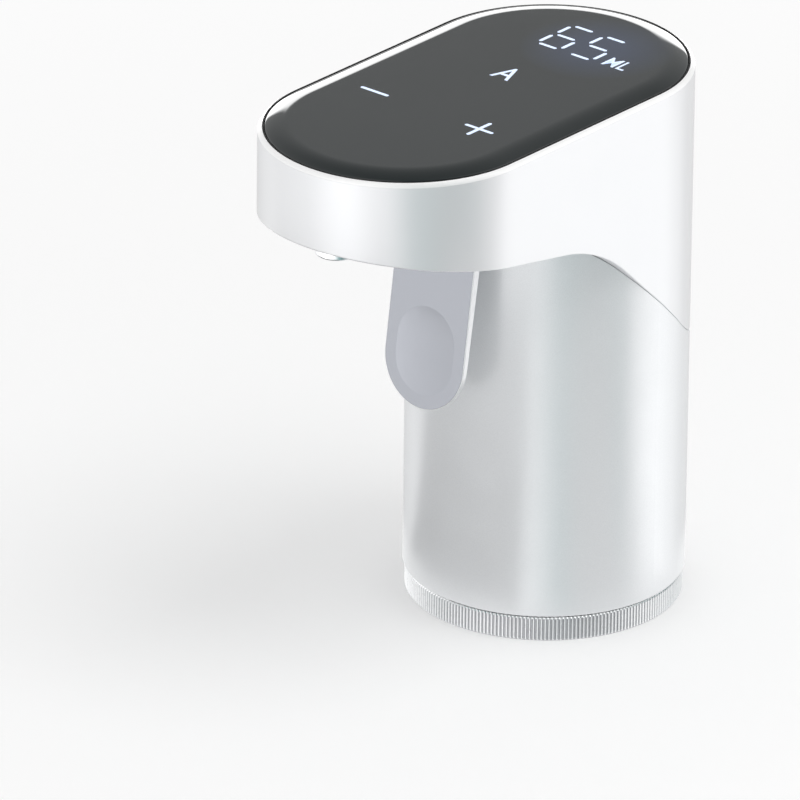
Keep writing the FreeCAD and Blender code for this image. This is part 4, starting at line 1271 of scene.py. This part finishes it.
    def build_figures(self) -> None:
        """Builds the two figures of the display."""
        low, middle, high = self.digit_rows
        for number, digit in enumerate(self.digits, start=1):
            left, right = digit.start, digit.start + self.digit_width
            out_left, out_right = left - self.digit_side, right + self.digit_side
            gap = self.digit_gap
            strokes = {
                "top": (left, high, right, high),
                "middle": (left, middle, right, middle),
                "bottom": (left, low, right, low),
                "left_high": (out_left, middle + gap, out_left, high - gap),
                "left_low": (out_left, low + gap, out_left, middle - gap),
                "right_high": (out_right, middle + gap, out_right, high - gap),
                "right_low": (out_right, low + gap, out_right, middle - gap),
            }
            bm = bmesh.new()
            for name in digit.lit.split():
                ends = strokes[name]
                start, end = Vector((*ends[:2], 0.0)), Vector((*ends[2:], 0.0))
                self.add_stroke(bm, start, end, self.digit_stroke, StrokeEnd.POINTED)
            self.lay(bm, f"display_figure_{number}")

    def build_letter(self, name: str, text: str, box: Sequence[float], bold: float) -> None:
        """Letters stretched to fill a box.

        Args:
            name: The piece's name.
            text: The letters.
            box: Low and high corner, X and Y, in millimetres.
            bold: How far the strokes are thickened, as a share of the letters' size.
        """
        letters = bpy.data.curves.new(name, "FONT")
        letters.body = text
        letters.offset = bold
        letters.resolution_u = self.letter_steps
        holder = bpy.data.objects.new(name, letters)
        bpy.context.scene.collection.objects.link(holder)
        depsgraph = bpy.context.evaluated_depsgraph_get()
        flat = bpy.data.meshes.new_from_object(holder.evaluated_get(depsgraph))
        bpy.data.objects.remove(holder)
        bm = bmesh.new()
        bm.from_mesh(flat)
        low = [min(vert.co[axis] for vert in bm.verts) for axis in (0, 1)]
        high = [max(vert.co[axis] for vert in bm.verts) for axis in (0, 1)]
        for vert in bm.verts:
            for axis in (0, 1):
                share = (vert.co[axis] - low[axis]) / (high[axis] - low[axis])
                vert.co[axis] = (box[axis] + (box[axis + 2] - box[axis]) * share) * MM
            vert.co.z = 0.0
        self.lay(bm, name)


@dataclass
class KnurledRing:
    """Silver twist ring with fine upright grooves. Millimetres."""

    dresser: Dresser
    teeth: int = 224
    groove: float = 0.3
    chamfer: float = 0.3
    inner: float = 18.0
    web: float = 1.4
    seat: float = 23.05
    crease: float = 25.0

    def build(self) -> None:
        """Builds the ring."""
        low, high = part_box("base_ring")
        radius, top = high.x, high.z
        cut = self.chamfer * MM
        groove = radius - self.groove * MM
        seat, inner = self.seat * MM, self.inner * MM
        under = top - self.web * MM
        rows = (
            (radius - cut, radius - cut, top),
            (radius, groove, top - cut),
            (radius, groove, low.z + cut),
            (radius - cut, radius - cut, low.z),
            (seat, seat, low.z),
            (seat, seat, under),
            (inner, inner, under),
            (inner, inner, top),
        )
        bm = bmesh.new()
        bmesh.ops.create_circle(bm, segments=CORNERS_PER_TOOTH * self.teeth, radius=radius)
        first = edges = bm.edges[:]
        loop = bm.verts[:]
        for row in rows:
            if row is not rows[0]:
                made = bmesh.ops.extrude_edge_only(bm, edges=edges)["geom"]
                loop = verts_of(made)
                edges = [part for part in made if isinstance(part, BMEdge) and part.is_boundary]
            for vert in loop:
                self.set_vert(vert, row)
        bmesh.ops.bridge_loops(bm, edges=first + edges)
        ring = piece_from(bm, "twist_ring", "neck_base", self.dresser.material("knurled_ring"), self.crease)
        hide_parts("base_ring")

    def set_vert(self, vert: BMVert, row: tuple[float, float, float]) -> None:
        """Moves a corner to its row, in or out by its place on a tooth.

        Args:
            vert: The corner.
            row: Distance of a crest and of a groove from the axis, and height, in metres.
        """
        turn = math.atan2(vert.co.y, vert.co.x)
        step = round(turn * CORNERS_PER_TOOTH * self.teeth / (2 * math.pi)) % CORNERS_PER_TOOTH
        reach = row[1] if step >= CORNERS_PER_TOOTH / 2 else row[0]
        vert.co = (reach * math.cos(turn), reach * math.sin(turn), row[2])


@dataclass
class LeverPlate:
    """Grey plate on the front of the white lever, with the lever's long shallow dish. Millimetres."""

    dresser: Dresser
    lean: float = 0.14
    face_place: float = -32.55
    face_height: float = 86.004
    dish_radius: float = 6.9
    dish_length: float = 3.4
    dish_depth: float = 0.42
    dish_steps: int = 14
    turn_steps: int = 64
    arm_steps: int = 4
    margin: float = 0.14
    border: float = 1.0
    top_height: float = 87.3
    proud: float = 0.05
    sunk: float = 0.05
    edge: float = 0.04
    crease: float = 6.0

    def hollow(self, reach: float) -> float:
        """Depth of the dish at a distance from its middle line, in millimetres."""
        spread = (self.dish_radius ** 2 + self.dish_depth ** 2) / (2 * self.dish_depth)
        return math.sqrt(spread ** 2 - reach ** 2) - (spread - self.dish_depth)

    def build(self) -> None:
        """Builds the plate and makes the lever behind it white."""
        low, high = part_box("dispense_lever")
        half = high.x / MM
        centre = low.z / MM + half + self.dish_length
        outer = half - self.margin
        reaches = [self.dish_radius * step / self.dish_steps for step in range(self.dish_steps + 1)]
        front = [(reach, self.proud - self.hollow(reach)) for reach in reaches]
        rim = [(outer - self.edge, self.proud), (outer, self.proud - self.edge), (outer, -self.sunk)]
        back = [(reach, -self.sunk - self.hollow(reach)) for reach in reversed(reaches)]
        section = [(reach * MM, height * MM) for reach, height in front + rim + back]
        bm = bmesh.new()
        shape = Outline(outer * MM, self.dish_length * MM, self.turn_steps, self.arm_steps)
        shape.sweep(bm, section, closed=False)
        self.square_top(bm, outer, self.top_height - centre)
        start = self.face_place - self.lean * (self.face_height - centre)
        stand = Matrix((
            (1.0, 0.0, 0.0, 0.0),
            (0.0, self.lean, -1.0, start * MM),
            (0.0, 1.0, 0.0, centre * MM),
            (0.0, 0.0, 0.0, 1.0),
        ))
        bmesh.ops.transform(bm, matrix=stand, verts=bm.verts[:])
        material = self.dresser.material("lever_plastic")
        plate = piece_from(bm, "lever_plate", "lever", material, self.crease)
        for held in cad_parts["dispense_lever"].material_slots:
            held.material = self.dresser.material("white_shell")

    def square_top(self, bm: BMesh, outer: float, rise: float) -> None:
        """Draws the rim's upper half round out to a straight top.

        Args:
            bm: The flat plate.
            outer: Half of its width in millimetres.
            rise: The top's distance from the dish's upper centre in millimetres.
        """
        for vert in bm.verts:
            reach = math.hypot(vert.co.x, vert.co.y)
            if vert.co.y > MERGE and reach > (self.dish_radius + self.border) * MM:
                across = reach / max(abs(vert.co.x), MERGE)
                along = rise * reach / (outer * vert.co.y)
                vert.co.xy *= min(across, along)


@dataclass(frozen=True)
class SoftBox:
    """Large soft lamp aimed at the object. Metres, watts and degrees."""

    name: str
    bearing: float
    rise: float
    distance: float
    width: float
    height: float
    power: float

    def hang(self, aim: Vector) -> None:
        """Adds the lamp.

        Args:
            aim: The point that it faces.
        """
        lamp = bpy.data.lights.new(self.name, "AREA")
        lamp.shape = "RECTANGLE"
        lamp.size = self.width
        lamp.size_y = self.height
        lamp.energy = self.power
        turn = math.radians(self.bearing)
        lift = math.radians(self.rise)
        away = Vector((math.sin(turn) * math.cos(lift), -math.cos(turn) * math.cos(lift), math.sin(lift)))
        facing = away.to_track_quat("Z", "Y").to_matrix().to_4x4()
        holder = bpy.data.objects.new(self.name, lamp)
        holder.matrix_world = Matrix.Translation(aim + away * self.distance) @ facing
        holder.visible_glossy = False
        bpy.context.scene.collection.objects.link(holder)


@dataclass(frozen=True)
class GlossDisc:
    """Disc just under the floor, which only a gloss shows, lighter and darker by bearing.

    Millimetres and degrees. A stop is a bearing, the brightness there and how much the disc covers there.
    """

    reach: float = 172.0
    fade: float = 26.0
    depth: float = 0.2
    steps: int = 64
    collar: tuple[float, float] = (38.0, 46.0)
    collar_level: float = 1.3
    collar_cover: float = 0.8
    top: float = 2.5
    stops: tuple[tuple[float, float, float], ...] = (
        (-70.0, 0.3, 0.0),
        (-60.0, 0.3, 1.0),
        (22.0, 0.3, 1.0),
        (30.0, 0.3, 0.0),
        (53.0, 0.6, 0.0),
        (60.0, 0.6, 1.0),
        (84.0, 0.6, 1.0),
        (91.0, 0.6, 0.0),
        (102.0, 1.9, 0.0),
        (108.0, 1.9, 1.0),
        (120.0, 2.3, 1.0),
        (127.0, 2.4, 0.0),
    )

    def lay(self) -> None:
        """Lays the disc."""
        bm = bmesh.new()
        radius = (self.reach + self.fade) * MM
        bmesh.ops.create_circle(bm, cap_ends=True, segments=self.steps, radius=radius)
        bmesh.ops.translate(bm, verts=bm.verts[:], vec=(0.0, 0.0, -self.depth * MM))
        disc = object_from(bm, "gloss_disc", self.material())
        disc.visible_camera = False
        disc.visible_diffuse = False
        disc.visible_transmission = False
        disc.visible_shadow = False

    def material(self) -> Material:
        """Grey glow in sectors that fade to nothing, round an even collar that the ring shows.

        Returns:
            The material.
        """
        graph = Graph("gloss_disc")
        stops = [(angle, (level / self.top,) * 3 + (cover,)) for angle, level, cover in self.stops]
        ramp = graph.ramp(graph.bearing(graph.split(graph.place())), stops)
        away = graph.away()
        near = graph.range(away, 1.0, 0.0, self.reach * MM, (self.reach + self.fade) * MM)
        clear = graph.node("BsdfTransparent").outputs[0]
        grey = graph.light("Emission", self.top, ramp.outputs["Color"])
        sectors = graph.mix(graph.reckon("MULTIPLY", ramp.outputs["Alpha"], near), clear, grey)
        collar = graph.mix(self.collar_cover, clear, graph.light("Emission", self.collar_level))
        inner, outer = self.collar
        beyond = graph.range(away, 0.0, 1.0, inner * MM, outer * MM)
        graph.join(graph.mix(beyond, collar, sectors), graph.surface)
        return graph.material


@dataclass(frozen=True)
class Studio:
    """Plain pale floor, soft lamps and the camera at the photograph's angle.

    Metres and degrees. A band is a bearing, its brightness and the share of red in it.
    """

    aim: Vector = Vector((0.0, -0.02, 0.06))
    fill: float = 0.68
    band_top: float = 3.2
    overhead: tuple[float, float] = (0.0, 1.0)
    overhead_level: float = 0.38
    strip_bearing: float = -139.0
    strip_half: float = 4.0
    strip_soft: float = 20.0
    strip_slant: float = 0.3
    strip_end: float = 0.3
    strip_rise: float = 0.17
    strip_rise_half: float = 0.15
    strip_rise_soft: float = 0.04
    strip_level: float = 4.8
    bands: tuple[tuple[float, float, float], ...] = (
        (-180.0, 0.9, 1.0),
        (-152.0, 0.79, 1.0),
        (-125.0, 0.79, 1.0),
        (-80.0, 1.5, 1.0),
        (-48.0, 1.9, 1.0),
        (-6.0, 3.15, 1.0),
        (24.0, 2.1, 1.0),
        (54.0, 0.45, 0.5),
        (80.0, 0.12, 0.0),
        (98.0, 0.3, 0.5),
        (116.0, 1.05, 1.0),
        (138.0, 2.4, 1.0),
        (160.0, 1.55, 1.0),
        (180.0, 0.9, 1.0),
    )
    floor_reach: float = 3.0
    floor_cells: int = 8
    floor_albedo: float = 0.86
    floor_roughness: float = 0.9
    floor_specular: float = 0.1
    floor_lift: float = 0.19
    floor_fade: tuple[float, float] = (0.12, 0.42)
    camera_place: Vector = Vector((1.43225, -1.74975, 1.06909))
    camera_right: Vector = Vector((0.76286, 0.64648, 0.01045))
    camera_up: Vector = Vector((-0.27559, 0.31049, 0.90975))
    camera_clip: tuple[float, float] = (0.05, 20.0)
    lens: float = 588.37
    sensor: float = 36.0
    boxes: tuple[SoftBox, ...] = (
        SoftBox("key", bearing=95.0, rise=66.0, distance=1.1, width=0.6, height=0.6, power=3.4),
    )

    def build(self) -> None:
        """Builds everything round the object."""
        self.light_world()
        self.lay_floor()
        GlossDisc().lay()
        for box in self.boxes:
            box.hang(self.aim)
        self.set_camera()
        bpy.context.scene.view_settings.view_transform = "Standard"

    def light_world(self) -> None:
        """White background, even fill, and the bands that a gloss shows, which grow dimmer overhead."""
        world = bpy.data.worlds.new("studio")
        bpy.context.scene.world = world
        world.use_nodes = True
        nodes = Nodes(world.node_tree)
        way = nodes.split(nodes.node("TexCoord").outputs["Generated"])
        bearing = nodes.bearing(way)
        dimmed = self.band_top * self.overhead_level
        lift = nodes.range(way.outputs["Z"], self.band_top, dimmed, *self.overhead)
        gloss = nodes.node("AddShader")
        bands = nodes.light("Background", lift, self.band_colour(nodes, bearing))
        nodes.join(bands, gloss.inputs[0])
        nodes.join(self.strip_light(nodes, way, bearing), gloss.inputs[1])
        glossy = nodes.node("LightPath").outputs["Is Glossy Ray"]
        lit = nodes.mix(glossy, nodes.light("Background", self.fill), gloss.outputs[0])
        shown = nodes.mix(nodes.seen(), lit, nodes.light("Background", 1.0))
        nodes.join(shown, nodes.tree.nodes["World Output"].inputs["Surface"])

    def band_colour(self, nodes: Nodes, bearing: NodeSocket) -> NodeSocket:
        """Upright light and dark bands round the object, as a gloss shows them.

        Args:
            nodes: The world's nodes.
            bearing: The direction's bearing.

        Returns:
            The socket with the bands' colour.
        """
        stops = []
        for angle, level, red in self.bands:
            share = level / self.band_top
            stops.append((angle, (share * red, share, share, 1.0)))
        return nodes.ramp(bearing, stops, "EASE").outputs["Color"]

    def strip_light(self, nodes: Nodes, way: Node, bearing: NodeSocket) -> NodeSocket:
        """Low bright strip behind the object, which the panel's far edge shows. It sinks towards its ends.

        Args:
            nodes: The world's nodes.
            way: The node that splits the direction.
            bearing: The direction's bearing.

        Returns:
            The strip's light.
        """
        across = nodes.window(bearing, self.strip_bearing, self.strip_half, self.strip_soft)
        sink = nodes.range(across, self.strip_slant, 0.0, 0.0, 1.0)
        height = nodes.reckon("ADD", way.outputs["Z"], sink)
        upright = nodes.window(height, self.strip_rise, self.strip_rise_half, self.strip_rise_soft)
        shown = nodes.range(across, 0.0, self.strip_level, 0.0, self.strip_end)
        return nodes.light("Background", nodes.reckon("MULTIPLY", shown, upright))

    def lay_floor(self) -> None:
        """Pale floor that keeps the shadow near the object and fades to the background."""
        bm = bmesh.new()
        bmesh.ops.create_grid(
            bm, x_segments=self.floor_cells, y_segments=self.floor_cells, size=self.floor_reach
        )
        floor = object_from(bm, "floor", self.floor_material())
        floor.visible_glossy = False

    def floor_material(self) -> Material:
        """Matt white, lifted a little where it is seen itself, and only light further out.

        Returns:
            The material.
        """
        graph = Graph("floor")
        seen = graph.seen()
        graph.put(Base_Color=(self.floor_albedo,) * 3 + (1.0,), Roughness=self.floor_roughness)
        graph.put(Specular_IOR_Level=self.floor_specular, Emission_Color=(*WHITE, 1.0))
        graph.put(Emission_Strength=graph.range(seen, 0.0, self.floor_lift, 0.0, 1.0))
        fade = graph.range(graph.away(), 0.0, 1.0, *self.floor_fade)
        share = graph.reckon("MULTIPLY", fade, seen)
        shown = graph.mix(share, graph.shader.outputs[0], graph.light("Emission", 1.0))
        graph.join(shown, graph.surface)
        return graph.material

    def set_camera(self) -> None:
        """Camera with the photograph's place and lens."""
        lens = bpy.data.cameras.new("camera")
        lens.lens = self.lens
        lens.sensor_width = self.sensor
        lens.clip_start, lens.clip_end = self.camera_clip
        camera = bpy.data.objects.new("camera", lens)
        back = self.camera_right.cross(self.camera_up)
        turn = Matrix((self.camera_right, self.camera_up, back)).transposed()
        camera.matrix_world = Matrix.Translation(self.camera_place) @ turn.to_4x4()
        bpy.context.scene.collection.objects.link(camera)
        bpy.context.scene.camera = camera


def main() -> None:
    """Builds the scene in order."""
    logging.basicConfig(level=logging.INFO, format="%(message)s")
    dresser = Dresser()
    dresser.dress_frame()
    outline = Outline.of_head()
    HeadShell(outline, dresser).build()
    TouchTop(outline, dresser).build()
    KnurledRing(dresser).build()
    LeverPlate(dresser).build()
    Studio().build()


if __name__ == "__main__":
    main()
